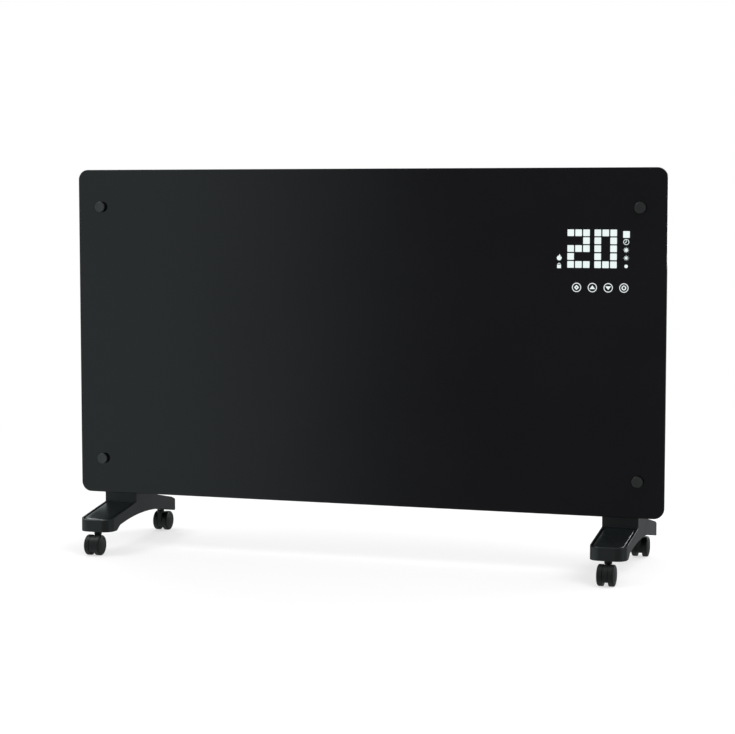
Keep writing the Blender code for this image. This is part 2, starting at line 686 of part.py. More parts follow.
def make_elements():
    """X-shaped aluminium bars on a round core, and the brackets that their cores rest in."""
    low = ELEMENT_CENTRE_X - ELEMENT_LENGTH / 2
    high = ELEMENT_CENTRE_X + ELEMENT_LENGTH / 2
    half = ELEMENT_SPAN / 2 - ELEMENT_FIN_T / 2
    waist = ELEMENT_FIN_T * 0.7
    for key, z in element_places().items():
        star = []
        for quarter in range(4):
            turn = math.radians(45 + 90 * quarter)
            along = (math.cos(turn), math.sin(turn))
            across = (-along[1], along[0])
            reach = half * math.sqrt(2) * 0.95
            for side in (-1, 1):
                star.append(
                    (
                        CASING_MID_Y + along[0] * reach + across[0] * side * ELEMENT_FIN_T / 2,
                        z + along[1] * reach + across[1] * side * ELEMENT_FIN_T / 2,
                    )
                )
            inner = math.radians(90 + 90 * quarter)
            star.append((CASING_MID_Y + waist * math.cos(inner), z + waist * math.sin(inner)))
        blades = flat(f"heating_element_{key}", [star], "yz", low, high, ALUMINIUM)
        core_length = ELEMENT_LENGTH + 2 * ELEMENT_ROD_STUB
        core = rods(
            f"element_core_{key}",
            [(ELEMENT_CENTRE_X, CASING_MID_Y, z)],
            ELEMENT_ROD_R,
            core_length,
            "x",
            ALUMINIUM,
            segments=MEDIUM,
        )
        join(blades, core)
    rows = list(element_places().values())
    bottom, top = min(rows) - BRACKET_MARGIN, max(rows) + BRACKET_MARGIN
    front_y = CASING_MID_Y - BRACKET_MARGIN
    back_y = PANEL_INNER_Y - GAP
    for side, way in SIDES.items():
        x = ELEMENT_CENTRE_X + way * (ELEMENT_LENGTH / 2 + BRACKET_INSET)
        web = box(
            f"element_bracket_{side}",
            (x - BRACKET_T / 2, front_y, bottom),
            (x + BRACKET_T / 2, back_y, top),
            STEEL,
        )
        flange_x = sorted((x - way * BRACKET_T / 2, x + way * BRACKET_FLANGE))
        flange_low = (flange_x[0], back_y - BRACKET_T, bottom)
        flange_high = (flange_x[1], back_y, top)
        join(web, box(f"bracket_flange_{side}", flange_low, flange_high))
        holes = rods(
            f"bracket_holes_{side}",
            [(x, CASING_MID_Y, z) for z in rows],
            ELEMENT_ROD_R + GAP,
            4 * BRACKET_T,
            "x",
            collection=cutters,
            segments=MEDIUM,
        )
        cut(web, holes)


def make_display():
    """A cell mask that shapes the digits, and the board behind it, in the gap behind the glass."""
    x, z = GLASS_WIDTH / 2 - DISPLAY_FROM_RIGHT, GLASS_TOP_Z - DISPLAY_FROM_TOP
    mask_front = GLASS_BACK_Y + GAP
    cells = []
    for from_right in DIGIT_CENTRES_FROM_RIGHT:
        for row in range(CELL_ROWS):
            for column in range(CELL_COLUMNS):
                u = GLASS_WIDTH / 2 - from_right + (column - 1) * CELL_PITCH
                v = GLASS_TOP_Z - DIGITS_FROM_TOP - (row - 2) * CELL_PITCH
                cells.append(rectangle((u, v), CELL_PITCH - CELL_WEB, CELL_PITCH - CELL_WEB))
    outline = rounded((x, z), DISPLAY_WIDTH, DISPLAY_HEIGHT, DISPLAY_CORNER_R, 3)
    mask_back = mask_front + MASK_DEPTH
    pierced("light_mask", outline, cells, "xz", mask_front, mask_back, MODULE_PLASTIC)
    board_front = mask_back + GAP
    flat("display_board", [outline], "xz", board_front, board_front + BOARD_T, BOARD)


def make_controls():
    """The plastic tray with the power board, the terminal block and the sensors."""
    z = CASING_BOTTOM_Z + CONTROL_FROM_CASING_BOTTOM
    back = PANEL_INNER_Y - GAP
    low = (CONTROL_X - CONTROL_WIDTH / 2, back - CONTROL_DEPTH, z - CONTROL_HEIGHT / 2)
    high = (CONTROL_X + CONTROL_WIDTH / 2, back, z + CONTROL_HEIGHT / 2)
    tray = box("control_housing", low, high, GRILLE_PLASTIC)
    wall = CONTROL_WALL
    cut(
        tray,
        box(
            "control_hollow",
            (low[0] + wall, low[1] - wall, low[2] + wall),
            (high[0] - wall, high[1] - wall, high[2] - wall),
        ),
    )
    inset = wall + 2 * GAP
    board_back = high[1] - wall - GAP
    board_low = (low[0] + inset, board_back - BOARD_T, low[2] + inset)
    board_high = (high[0] - inset, board_back, high[2] - inset)
    board = box("control_board", board_low, board_high, BOARD)
    face = board_low[1] + BOARD_T / 2
    for index, (dx, dz, wide, high_z, deep) in enumerate(COMPONENTS):
        corner_x, corner_z = board_low[0] + dx, board_low[2] + dz
        low = (corner_x, face - deep, corner_z)
        high = (corner_x + wide, face, corner_z + high_z)
        join(board, box(f"board_component_{index}", low, high))
    width, depth, height = TERMINAL_SIZE
    tz = CASING_BOTTOM_Z + TERMINAL_FROM_CASING_BOTTOM
    terminal = box(
        "terminal_block",
        (TERMINAL_X - width / 2, back - depth, tz - height / 2),
        (TERMINAL_X + width / 2, back, tz + height / 2),
        MODULE_PLASTIC,
    )
    pitch = width / TERMINAL_WAYS
    well_w, well_h = TERMINAL_WELL_SHARE * pitch, TERMINAL_WELL_SHARE * height
    wells = []
    for i in range(TERMINAL_WAYS):
        well_x = TERMINAL_X + (i - (TERMINAL_WAYS - 1) / 2) * pitch
        low = (well_x - well_w / 2, back - depth - PAST, tz - well_h / 2)
        high = (well_x + well_w / 2, back - depth + TERMINAL_WELL_DEPTH, tz + well_h / 2)
        wells.append((low, high))
    cut(terminal, boxes("terminal_wells", wells))
    width, depth, height = TIP_SWITCH_SIZE
    floor = CASING_FLOOR_Z + GAP
    box(
        "tip_over_switch",
        (TIP_SWITCH_X - width / 2, CASING_MID_Y - depth / 2, floor),
        (TIP_SWITCH_X + width / 2, CASING_MID_Y + depth / 2, floor + height),
        MODULE_PLASTIC,
    )
    width, depth, height = PROBE_BASE
    base = box(
        "temperature_probe",
        (PROBE_X - width / 2, CASING_MID_Y - depth / 2, floor),
        (PROBE_X + width / 2, CASING_MID_Y + depth / 2, floor + height),
        MODULE_PLASTIC,
    )
    centre = (PROBE_X, CASING_MID_Y, floor + height - PAST + PROBE_LENGTH / 2)
    join(base, rods("probe_body", [centre], PROBE_R, PROBE_LENGTH, "z", STEEL, segments=MEDIUM))
    width, height = CUTOUT_PLATE
    cz = max(element_places().values()) + CUTOUT_FROM_ELEMENT
    front = CHASSIS_BACK_Y + GAP
    plate = box(
        "thermal_cutout",
        (ELEMENT_CENTRE_X - width / 2, front, cz - height / 2),
        (ELEMENT_CENTRE_X + width / 2, front + CUTOUT_PLATE_T, cz + height / 2),
        STEEL,
    )
    centre = (ELEMENT_CENTRE_X, front + (CUTOUT_PLATE_T + CUTOUT_DEPTH) / 2, cz)
    join(plate, rods("cutout_body", [centre], CUTOUT_R, CUTOUT_DEPTH, "y", STEEL, segments=MEDIUM))


def make_switch():
    """The mains rocker in its housing, in the off position."""
    x, z = SWITCH_X, CASING_BOTTOM_Z + SWITCH_FROM_CASING_BOTTOM
    width, height = SWITCH_BEZEL
    bezel_low = CASING_BACK_Y + GAP
    bezel_high = bezel_low + SWITCH_BEZEL_T
    rim_w, rim_h = width + 2 * SWITCH_BEZEL_RIM, height + 2 * SWITCH_BEZEL_RIM
    rim = rounded((x, z), rim_w, rim_h, SWITCH_BEZEL_CORNER_R, 3)
    bezel = flat("switch_housing", [rim], "xz", bezel_low, bezel_high, GRILLE_PLASTIC)
    body_w, body_h = width - SWITCH_WALL, height - SWITCH_WALL
    join(
        bezel,
        box(
            "switch_body",
            (x - body_w / 2, bezel_low - SWITCH_BODY_DEPTH, z - body_h / 2),
            (x + body_w / 2, bezel_low + SWITCH_BEZEL_T / 2, z + body_h / 2),
        ),
    )
    well_w = body_w - 2 * SWITCH_WALL
    well_h = 2 * (math.hypot(ROCKER_HALF_HEIGHT, ROCKER_CROWN) + RUNNING_GAP)
    cut(
        bezel,
        box(
            "switch_well",
            (x - well_w / 2, bezel_high - SWITCH_WELL_DEPTH, z - well_h / 2),
            (x + well_w / 2, bezel_high + PAST, z + well_h / 2),
        ),
    )
    pivot_y = bezel_high - ROCKER_PIVOT_BELOW_BEZEL
    half, crown, edge = ROCKER_HALF_HEIGHT, ROCKER_CROWN, ROCKER_EDGE
    lower = [
        (-ROCKER_KEEL[0], -ROCKER_KEEL[1]),
        (-ROCKER_SHOULDER, -half),
        (crown - edge, -half),
        (crown, -half + edge),
    ]
    upper = [(u, -v) for u, v in reversed(lower)]
    outline = [*lower, (ROCKER_DIP, 0.0), *upper]
    rocker_w = well_w - 2 * RUNNING_GAP
    rocker = flat("switch_rocker", [outline], "yz", -rocker_w / 2, rocker_w / 2, GRILLE_PLASTIC)
    rocker.rotation_euler = (math.radians(ROCKER_TIP_DEG), 0, 0)
    rocker.location = (x, pivot_y, z)


def make_bushing():
    """The cord outlet, with nothing in its bore."""
    place = (SWITCH_X, 0, CASING_BOTTOM_Z + BUSHING_FROM_CASING_BOTTOM)
    outer = CASING_BACK_Y + GAP + BUSHING_FLANGE_T
    under = CASING_BACK_Y + GAP
    inner = under - BUSHING_LENGTH
    profile = [
        (BUSHING_BORE_R, inner),
        (BUSHING_BODY_R, inner),
        (BUSHING_BODY_R, under),
        (BUSHING_FLANGE_R, under),
        (BUSHING_FLANGE_R, outer - BUSHING_CHAMFER),
        (BUSHING_FLANGE_R - BUSHING_CHAMFER, outer),
        (BUSHING_BORE_R, outer),
        (BUSHING_BORE_R, inner),
    ]
    turned("cord_bushing", profile, place, "y", RUBBER, MEDIUM)


def screw_profile(radius, head_r, head_h, length):
    """A pan-head screw, head at the top, with the underside of its head at zero."""
    return [
        (0.0, -length),
        (radius, -length),
        (radius, 0.0),
        (head_r, 0.0),
        (head_r, head_h * 0.5),
        (head_r * 0.7, head_h),
        (0.0, head_h),
    ]


def make_casing_screws():
    profile = screw_profile(CASING_SCREW_R, CASING_SCREW_HEAD_R, CASING_SCREW_HEAD_H, CASING_SCREW_LENGTH)
    for key, (x, z) in casing_screw_places().items():
        turned(f"casing_screw_{key}", profile, (x, CASING_BACK_Y + GAP, z), "y", STEEL, 12)


def arch_z(y):
    """Height of the underside's arch at y."""
    return FOOT_ARCH_CROWN[1] - FOOT_ARCH_R + math.sqrt(FOOT_ARCH_R**2 - (y - FOOT_ARCH_CROWN[0]) ** 2)


def slope_z(y):
    """Height of the foot's front slope at y."""
    share = (y - FOOT_FRONT_Y) / (NECK_FRONT_Y - FOOT_FRONT_Y)
    return FOOT_FRONT_TOP_Z + share * (FOOT_SLOPE_TOP_Z - FOOT_FRONT_TOP_Z)


def arch_end_y():
    """Where the arch comes down to the rear pad."""
    drop = FOOT_ARCH_CROWN[1] - FOOT_PAD_Z
    return FOOT_ARCH_CROWN[0] + math.sqrt(2 * FOOT_ARCH_R * drop - drop**2)


def foot_outline():
    """The foot's side view, from the front pad up over the neck to the rear and back along the arch."""
    back, down = FOOT_REAR_ROUND
    bend_back, bend_down = FOOT_REAR_BEND
    top = [
        (FOOT_FRONT_Y, FOOT_PAD_Z + FOOT_EDGE),
        (FOOT_FRONT_Y, FOOT_FRONT_TOP_Z),
        (NECK_FRONT_Y, FOOT_SLOPE_TOP_Z),
        (NECK_FRONT_Y, NECK_TOP_Z),
        (CASING_BACK_Y, NECK_TOP_Z),
        (CASING_BACK_Y, FOOT_REAR_SHOULDER_Z),
        FOOT_REAR_KNEE,
        (FOOT_REAR_Y - back, FOOT_REAR_TOP_Z + down),
        (FOOT_REAR_Y - bend_back, FOOT_REAR_TOP_Z + bend_down),
        (FOOT_REAR_Y, FOOT_REAR_TOP_Z),
        (FOOT_REAR_Y, FOOT_PAD_Z + FOOT_EDGE),
        (FOOT_REAR_Y - FOOT_EDGE, FOOT_PAD_Z),
    ]
    start, end = arch_end_y(), FOOT_FRONT_NOTCH_Y
    ys = [start + (end - start) * i / FOOT_ARCH_STEPS for i in range(FOOT_ARCH_STEPS + 1)]
    arch = [(y, arch_z(y)) for y in ys]
    pad = [
        ((FOOT_FRONT_PAD_BACK_Y + end) / 2, (arch_z(end) + FOOT_PAD_Z) / 2),
        (FOOT_FRONT_PAD_BACK_Y, FOOT_PAD_Z),
        (FOOT_FRONT_Y + FOOT_EDGE, FOOT_PAD_Z),
    ]
    return top + arch + pad


def rear_top_z(y):
    """Height of the foot's rear slope at y."""
    knee_y, knee_z = FOOT_REAR_KNEE
    share = (y - CASING_BACK_Y) / (knee_y - CASING_BACK_Y)
    return FOOT_REAR_SHOULDER_Z + share * (knee_z - FOOT_REAR_SHOULDER_Z)


def foot_pockets(key, side):
    """Ribbed hollows in the foot's underside, between its castor bosses and its screw posts."""
    centre = side * FOOT_CENTRE_X
    reach = FOOT_WIDTH / 2 - FOOT_WALL
    post = FOOT_SCREW_HEAD_R + GAP + FOOT_WALL
    front_screw, rear_screw = (y for x, y in foot_screw_places(side))
    cover = COVER_T + GAP
    spans = (
        (-STEM_Y + STEM_BOSS_R, front_screw - post, lambda y: slope_z(y) - cover),
        (rear_screw + post, STEM_Y - STEM_BOSS_R, lambda y: rear_top_z(max(y, CASING_BACK_Y))),
    )
    for number, (start, end, roof) in enumerate(spans):
        middle = (start + end) / 2
        cells = ((start, middle - FOOT_POCKET_RIB / 2), (middle + FOOT_POCKET_RIB / 2, end))
        for cell, (near, far) in enumerate(cells):
            outline = [
                (near, FOOT_PAD_Z - PAST),
                (far, FOOT_PAD_Z - PAST),
                (far, roof(far) - FOOT_WALL),
                (near, roof(near) - FOOT_WALL),
            ]
            yield flat(f"foot_pocket_{key}_{number}_{cell}", [outline], "yz", centre - reach, centre + reach)


def cover_outline(grow):
    """The front cover's plan, in its foot's own x and y, made larger all round by grow."""
    margin = COVER_MARGIN - grow
    half = FOOT_WIDTH / 2 - margin
    front = FOOT_FRONT_Y + margin
    back = NECK_FRONT_Y - COVER_NECK_GAP + grow
    radius = max(FOOT_END_R - margin, COVER_SMALLEST_R)
    points = arc((-half + radius, front + radius), radius, 180, 270, 5)
    points += arc((half - radius, front + radius), radius, 270, 360, 5)
    return points + [(half, back), (-half, back)]


def sloped_slab(name, outline, side, under, over, paint):
    """The plan outline, cut to the slab between two heights above the front slope."""
    centre = side * FOOT_CENTRE_X
    plan = [(x + centre, y) for x, y in outline]
    slab = flat(name, [plan], "xy", FOOT_PAD_Z, NECK_TOP_Z, paint)
    front, back = FOOT_FRONT_Y - PAST, NECK_FRONT_Y + PAST
    band = [
        (front, slope_z(front) + under),
        (back, slope_z(back) + under),
        (back, slope_z(back) + over),
        (front, slope_z(front) + over),
    ]
    half = FOOT_WIDTH
    band_solid = flat(f"{name}_band", [band], "yz", centre - half, centre + half)
    combine(slab, band_solid, "INTERSECT")
    return slab


def make_foot(key, side):
    centre = side * FOOT_CENTRE_X
    half = FOOT_WIDTH / 2
    foot = flat(f"foot_body_{key}", [foot_outline()], "yz", centre - half, centre + half, FOOT_PLASTIC)
    middle = (FOOT_FRONT_Y + FOOT_REAR_Y) / 2
    plan = rounded((centre, middle), FOOT_WIDTH, FOOT_REAR_Y - FOOT_FRONT_Y, FOOT_END_R, 5)
    combine(foot, flat(f"foot_plan_{key}", [plan], "xy", 0.0, GLASS_TOP_Z), "INTERSECT")
    open_top = NECK_TOP_Z - FOOT_SLOPE_TOP_Z
    recess_plan = cover_outline(COVER_GROOVE)
    recess = sloped_slab(f"cover_recess_{key}", recess_plan, side, -COVER_T - GAP, open_top, FOOT_PLASTIC)
    cut(foot, settle(recess), *foot_pockets(key, side))
    sloped_slab(f"foot_cover_{key}", cover_outline(0.0), side, -COVER_T, COVER_PROUD, FOOT_PLASTIC)
    socket_top = STEM_TOP_Z + GAP
    socket_low = FOOT_PAD_Z - PAST
    sockets = [(centre, way * STEM_Y, (socket_top + socket_low) / 2) for way in ENDS.values()]
    seat = foot_screw_seat()
    places = foot_screw_places(side)
    wells = [(x, y, (seat + FOOT_PAD_Z) / 2) for x, y in places]
    bores = [(x, y, NECK_TOP_Z) for x, y in places]
    cut(
        foot,
        upright_holes(f"stem_sockets_{key}", sockets, STEM_GRIP_R + GAP, socket_top - socket_low),
        upright_holes(f"screw_wells_{key}", wells, FOOT_SCREW_HEAD_R + GAP, seat - FOOT_PAD_Z),
        upright_holes(f"screw_bores_{key}", bores, FOOT_SCREW_R + GAP, 2 * (NECK_TOP_Z - seat + PAST)),
    )
    top = FOOT_SCREW_ABOVE_SEAT + NECK_TOP_Z - seat
    profile = screw_profile(FOOT_SCREW_R, FOOT_SCREW_HEAD_R, FOOT_SCREW_HEAD_H, top)
    for name, (x, y) in zip(("front", "rear"), places, strict=True):
        turned(f"foot_screw_{key}_{name}", profile, (x, y, seat - GAP), "z", STEEL, 12, flip=True)


def upright_holes(name, places, radius, length):
    return rods(name, places, radius, length, "z", collection=cutters, segments=MEDIUM)


def foot_screw_seat():
    """Height of the face that the foot screws' heads pull against."""
    return FOOT_SLOPE_TOP_Z - FOOT_SCREW_FLOOR


def make_castor(foot_key, side, end_key, way):
    key = f"{foot_key}_{end_key}"
    x, y = side * FOOT_CENTRE_X, way * STEM_Y
    axle_y = y + way * TRAIL
    grip_low = FOOT_PAD_Z + STEM_GRIP_INSET
    grip_high = STEM_TOP_Z - STEM_GRIP_INSET
    stem = [
        (0.0, STEM_BOTTOM_Z),
        (STEM_R, STEM_BOTTOM_Z),
        (STEM_R, grip_low),
        (STEM_GRIP_R, grip_low + STEM_TAPER),
        (STEM_GRIP_R, grip_high),
        (STEM_R, grip_high + STEM_TAPER),
        (STEM_R - STEM_TIP, STEM_TOP_Z),
        (0.0, STEM_TOP_Z),
    ]
    turned(f"castor_stem_{key}", stem, (x, y, 0), "z", STEEL, MEDIUM)
    collar_top = FOOT_PAD_Z - COLLAR_TOP_GAP
    collar_over_wheel = TRAIL - math.sqrt(COLLAR_R**2 - WHEEL_INNER_X**2)
    collar_low = WHEEL_R + math.sqrt(WHEEL_R**2 - collar_over_wheel**2) + RUNNING_GAP
    web = [
        point
        for point in circle((axle_y, WHEEL_R), HOOD_R, 24)
        if point[1] > HOOD_OPEN_Z
    ]
    web.sort(key=lambda point: math.atan2(-(point[0] - axle_y), point[1] - WHEEL_R))
    half = HOOD_WIDTH / 2
    hood = flat(f"castor_hood_{key}", [web], "yz", x - half, x + half, CASTOR_PLASTIC)
    neck_half = half - HOOD_NECK_INSET
    neck_r = STEM_R + HOOD_NECK_WALL
    neck_low = (x - neck_half, y - neck_r, WHEEL_R)
    neck_high = (x + neck_half, y + neck_r, collar_low + HOOD_NECK_OVERLAP)
    collar = [
        (0.0, collar_low),
        (COLLAR_R, collar_low),
        (COLLAR_R, collar_top - COLLAR_CHAMFER),
        (COLLAR_R - COLLAR_CHAMFER, collar_top),
        (0.0, collar_top),
    ]
    join(
        hood,
        box(f"hood_neck_{key}", neck_low, neck_high),
        turned(f"hood_collar_{key}", collar, (x, y, 0), "z", CASTOR_PLASTIC, 20),
    )
    bore_low, bore_high = STEM_BOTTOM_Z - GAP, collar_top + PAST
    bore_at = (x, y, (bore_low + bore_high) / 2)
    axle_at = (x, axle_y, WHEEL_R)
    stem_bore = upright_holes(f"stem_bore_{key}", [bore_at], STEM_R + GAP, bore_high - bore_low)
    bore_r = AXLE_R + GAP
    bore_name = f"axle_bore_{key}"
    axle_bore = rods(bore_name, [axle_at], bore_r, 2 * HOOD_WIDTH, "x", collection=cutters, segments=MEDIUM)
    cut(hood, stem_bore, axle_bore)
    at_joint(hood, (x, y, 0))
    axle_length = 2 * (WHEEL_INNER_X + AXLE_IN_WHEEL)
    rods(f"castor_axle_{key}", [axle_at], AXLE_R, axle_length, "x", STEEL, segments=MEDIUM)
    bore_depth = AXLE_IN_WHEEL + GAP
    rim_x = WHEEL_WIDTH - WHEEL_DOME
    edge = WHEEL_EDGE_R
    wheel = [
        (0.0, bore_depth),
        (bore_r, bore_depth),
        (bore_r, 0.0),
        (WHEEL_R, 0.0),
        (WHEEL_R, rim_x - edge),
        (WHEEL_R - 0.3 * edge, rim_x - 0.3 * edge),
        (WHEEL_R - edge, rim_x),
        (WHEEL_DOME_SHARE * WHEEL_R, WHEEL_WIDTH),
        (0.0, WHEEL_WIDTH),
    ]
    for wheel_key, out in SIDES.items():
        hub = (x + out * WHEEL_INNER_X, axle_y, WHEEL_R)
        name = f"castor_wheel_{key}_{wheel_key}"
        at_joint(turned(name, wheel, hub, "x", CASTOR_PLASTIC, ROUND, flip=out < 0), hub)


make_glass()
make_studs()
make_chassis()
make_rear_casing()
make_top_grille()
make_elements()
make_display()
make_controls()
make_switch()
make_bushing()
make_casing_screws()
for foot_key, side in SIDES.items():
    make_foot(foot_key, side)
    for end_key, way in ENDS.items():
        make_castor(foot_key, side, end_key, way)
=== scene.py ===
import math

import bmesh
import bpy
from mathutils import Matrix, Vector


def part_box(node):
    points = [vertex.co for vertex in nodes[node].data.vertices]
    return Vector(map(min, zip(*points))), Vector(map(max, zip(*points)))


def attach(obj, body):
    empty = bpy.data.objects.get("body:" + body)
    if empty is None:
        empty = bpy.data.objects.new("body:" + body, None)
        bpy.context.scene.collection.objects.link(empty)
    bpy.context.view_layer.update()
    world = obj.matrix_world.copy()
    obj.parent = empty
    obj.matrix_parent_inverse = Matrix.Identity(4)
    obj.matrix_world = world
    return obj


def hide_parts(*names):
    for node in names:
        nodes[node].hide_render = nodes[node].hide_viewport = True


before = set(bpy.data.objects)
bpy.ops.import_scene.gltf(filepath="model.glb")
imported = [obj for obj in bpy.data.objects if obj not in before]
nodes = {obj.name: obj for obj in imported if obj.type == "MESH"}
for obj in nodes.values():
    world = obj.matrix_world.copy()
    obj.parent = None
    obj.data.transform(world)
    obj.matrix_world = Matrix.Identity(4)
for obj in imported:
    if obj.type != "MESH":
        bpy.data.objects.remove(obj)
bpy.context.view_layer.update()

SIDES = {"left": -1, "right": 1}
ENDS = {"front": -1, "rear": 1}
CORNERS = ("tl", "tr", "bl", "br")
OVER = 0.001  # How far a cutting or joining shape reaches past the face that it goes through


# Node materials. Texture coordinates are the object's own, which are the row frame in metres.

NOISE_ROUGHNESS = 0.55
DRIFT_DETAIL, GRAIN_DETAIL = 3.0, 5.0
GRAIN_SHARE = 0.5
MIXED_RANGE = (0.5, 1.0)
GLOW_SCALE, GLOW_DETAIL = 60.0, 2.0


def links(tree, *pairs):
    for start, end in pairs:
        tree.links.new(start, end)


def maths(tree, operation, *values):
    """The result of a maths node. Each value is a number or a socket."""
    node = tree.nodes.new("ShaderNodeMath")
    node.operation = operation
    for place, value in zip(node.inputs, values):
        if isinstance(value, (int, float)):
            place.default_value = value
        else:
            tree.links.new(value, place)
    return node.outputs[0]


def noise(tree, coordinate, scale, detail, stretch=None):
    """A noise texture's value, at scale features to the metre, squeezed along an axis by stretch."""
    if stretch:
        mapping = tree.nodes.new("ShaderNodeMapping")
        mapping.inputs["Scale"].default_value = stretch
        tree.links.new(coordinate, mapping.inputs["Vector"])
        coordinate = mapping.outputs["Vector"]
    texture = tree.nodes.new("ShaderNodeTexNoise")
    texture.inputs["Scale"].default_value = scale
    texture.inputs["Detail"].default_value = detail
    texture.inputs["Roughness"].default_value = NOISE_ROUGHNESS
    tree.links.new(coordinate, texture.inputs["Vector"])
    return texture.outputs["Fac"]


def spread(tree, value, low, high, start=0.3, end=0.7):
    """value, from start to end, spread over low to high."""
    node = tree.nodes.new("ShaderNodeMapRange")
    node.interpolation_type = "SMOOTHSTEP"
    for name, number in (("From Min", start), ("From Max", end), ("To Min", low), ("To Max", high)):
        node.inputs[name].default_value = number
    tree.links.new(value, node.inputs["Value"])
    return node.outputs["Result"]


def blend_colours(tree, factor, first, second, first_link=None):
    """first at factor 0 and second at factor 1. first_link, if given, takes the place of first."""
    node = tree.nodes.new("ShaderNodeMix")
    node.data_type = "RGBA"
    colours = [socket for socket in node.inputs if socket.type == "RGBA"]
    colours[0].default_value = (*first, 1)
    colours[1].default_value = (*second, 1)
    if first_link:
        tree.links.new(first_link, colours[0])
    tree.links.new(factor, node.inputs["Factor"])
    return next(socket for socket in node.outputs if socket.type == "RGBA")


def mix_shaders(tree, factor, first, second):
    """first at factor 0 and second at factor 1. All three are sockets."""
    node = tree.nodes.new("ShaderNodeMixShader")
    for place, value in zip(node.inputs, (factor, first, second)):
        tree.links.new(value, place)
    return node.outputs[0]


def background(tree, strength, colour=None):
    """A background shader, white unless colour, a socket, is given."""
    node = tree.nodes.new("ShaderNodeBackground")
    node.inputs["Color"].default_value = (1, 1, 1, 1)
    node.inputs["Strength"].default_value = strength
    if colour:
        tree.links.new(colour, node.inputs["Color"])
    return node.outputs[0]


def surface(name, first, second, rough, grain, bump, broad=14.0, stretch=None, **sockets):
    """A material that drifts between two tones, with a fine grain in its roughness and relief.

    rough is its lowest and highest roughness. grain and broad are features to the metre. bump is the
    relief's strength and its height in metres. sockets are uniform values for the shader's own sockets.
    """
    material = bpy.data.materials.new(name)
    material.use_nodes = True
    tree = material.node_tree
    shader = tree.nodes["Principled BSDF"]
    place = tree.nodes.new("ShaderNodeTexCoord").outputs["Object"]
    drift = noise(tree, place, broad, DRIFT_DETAIL)
    fine = noise(tree, place, grain, GRAIN_DETAIL, stretch)
    mixed = maths(tree, "MULTIPLY_ADD", fine, GRAIN_SHARE, drift)
    tone = spread(tree, mixed, 0.0, 1.0, *MIXED_RANGE)
    colour = blend_colours(tree, tone, first, second)
    roughness = spread(tree, mixed, *rough, *MIXED_RANGE)
    relief = tree.nodes.new("ShaderNodeBump")
    relief.inputs["Strength"].default_value, relief.inputs["Distance"].default_value = bump
    links(
        tree,
        (colour, shader.inputs["Base Color"]),
        (roughness, shader.inputs["Roughness"]),
        (fine, relief.inputs["Height"]),
        (relief.outputs["Normal"], shader.inputs["Normal"]),
    )
    for socket, value in sockets.items():
        shader.inputs[socket.replace("_", " ")].default_value = value
    return material


def lit(name, colour, strength):
    """A lamp-lit marking. Its brightness drifts a little, between the two values of strength."""
    material = surface(
        name, (0.02, 0.021, 0.021), (0.03, 0.031, 0.031), (0.3, 0.4), 900.0, (0.1, 0.00002)
    )
    tree = material.node_tree
    shader = tree.nodes["Principled BSDF"]
    place = tree.nodes.new("ShaderNodeTexCoord").outputs["Object"]
    glow = spread(tree, noise(tree, place, GLOW_SCALE, GLOW_DETAIL), *strength)
    shader.inputs["Emission Color"].default_value = (*colour, 1)
    tree.links.new(glow, shader.inputs["Emission Strength"])
    return material


GLASS = surface(
    "panel_glass",
    (0.0027, 0.0027, 0.0037),
    (0.0035, 0.0035, 0.0047),
    (0.045, 0.085),
    160.0,
    (0.06, 0.00001),
    broad=7.0,
    Specular_IOR_Level=0.26,
)
STUD = surface(
    "stud_black",
    (0.0044, 0.0045, 0.0049),
    (0.0062, 0.0063, 0.0067),
    (0.28, 0.38),
    2600.0,
    (0.25, 0.00002),
    Specular_IOR_Level=0.62,
)
FOOT = surface(
    "foot_grain",
    (0.0044, 0.0056, 0.0060),
    (0.0062, 0.0076, 0.0080),
    (0.32, 0.44),
    2300.0,
    (0.35, 0.00005),
    Specular_IOR_Level=0.30,
)
COVER = surface(
    "foot_cover_satin",
    (0.0064, 0.0079, 0.0083),
    (0.0080, 0.0097, 0.0102),
    (0.24, 0.30),
    2300.0,
    (0.15, 0.00002),
    Specular_IOR_Level=0.38,
)
CASTOR = surface(
    "castor_grain",
    (0.0046, 0.0047, 0.0049),
    (0.0066, 0.0067, 0.0069),
    (0.34, 0.48),
    1900.0,
    (0.35, 0.00005),
    Specular_IOR_Level=0.22,
)
COAT = surface(
    "casing_powder_coat",
    (0.0185, 0.0190, 0.0195),
    (0.0212, 0.0217, 0.0222),
    (0.47, 0.55),
    1100.0,
    (0.45, 0.00008),
    broad=30.0,
)
GRILLE = surface(
    "grille_grain", (0.014, 0.014, 0.0145), (0.019, 0.019, 0.0195), (0.42, 0.56), 2100.0, (0.35, 0.00005)
)
STEEL = surface(
    "zinc_steel",
    (0.46, 0.46, 0.47),
    (0.60, 0.60, 0.60),
    (0.26, 0.42),
    1500.0,
    (0.2, 0.00003),
    broad=120.0,
    Metallic=1.0,
)
ALUMINIUM = surface(
    "extruded_aluminium",
    (0.62, 0.62, 0.63),
    (0.74, 0.74, 0.74),
    (0.28, 0.44),
    700.0,
    (0.3, 0.00004),
    stretch=(0.04, 1.0, 1.0),
    Metallic=1.0,
)
RUBBER = surface(
    "matt_rubber", (0.010, 0.010, 0.010), (0.017, 0.017, 0.017), (0.62, 0.80), 1700.0, (0.4, 0.00006)
)
BOARD = surface(
    "solder_mask",
    (0.008, 0.075, 0.032),
    (0.016, 0.120, 0.052),
    (0.24, 0.40),
    420.0,
    (0.25, 0.00005),
    broad=180.0,
    stretch=(1.0, 1.0, 0.12),
)
MODULE = surface(
    "module_grain", (0.52, 0.52, 0.49), (0.62, 0.62, 0.59), (0.42, 0.58), 1600.0, (0.3, 0.00005)
)
LIGHT = lit("display_white", (0.82, 0.92, 0.905), (0.95, 1.0))
ICON_LIGHT = lit("icon_white", (0.84, 0.90, 0.90), (0.95, 1.0))

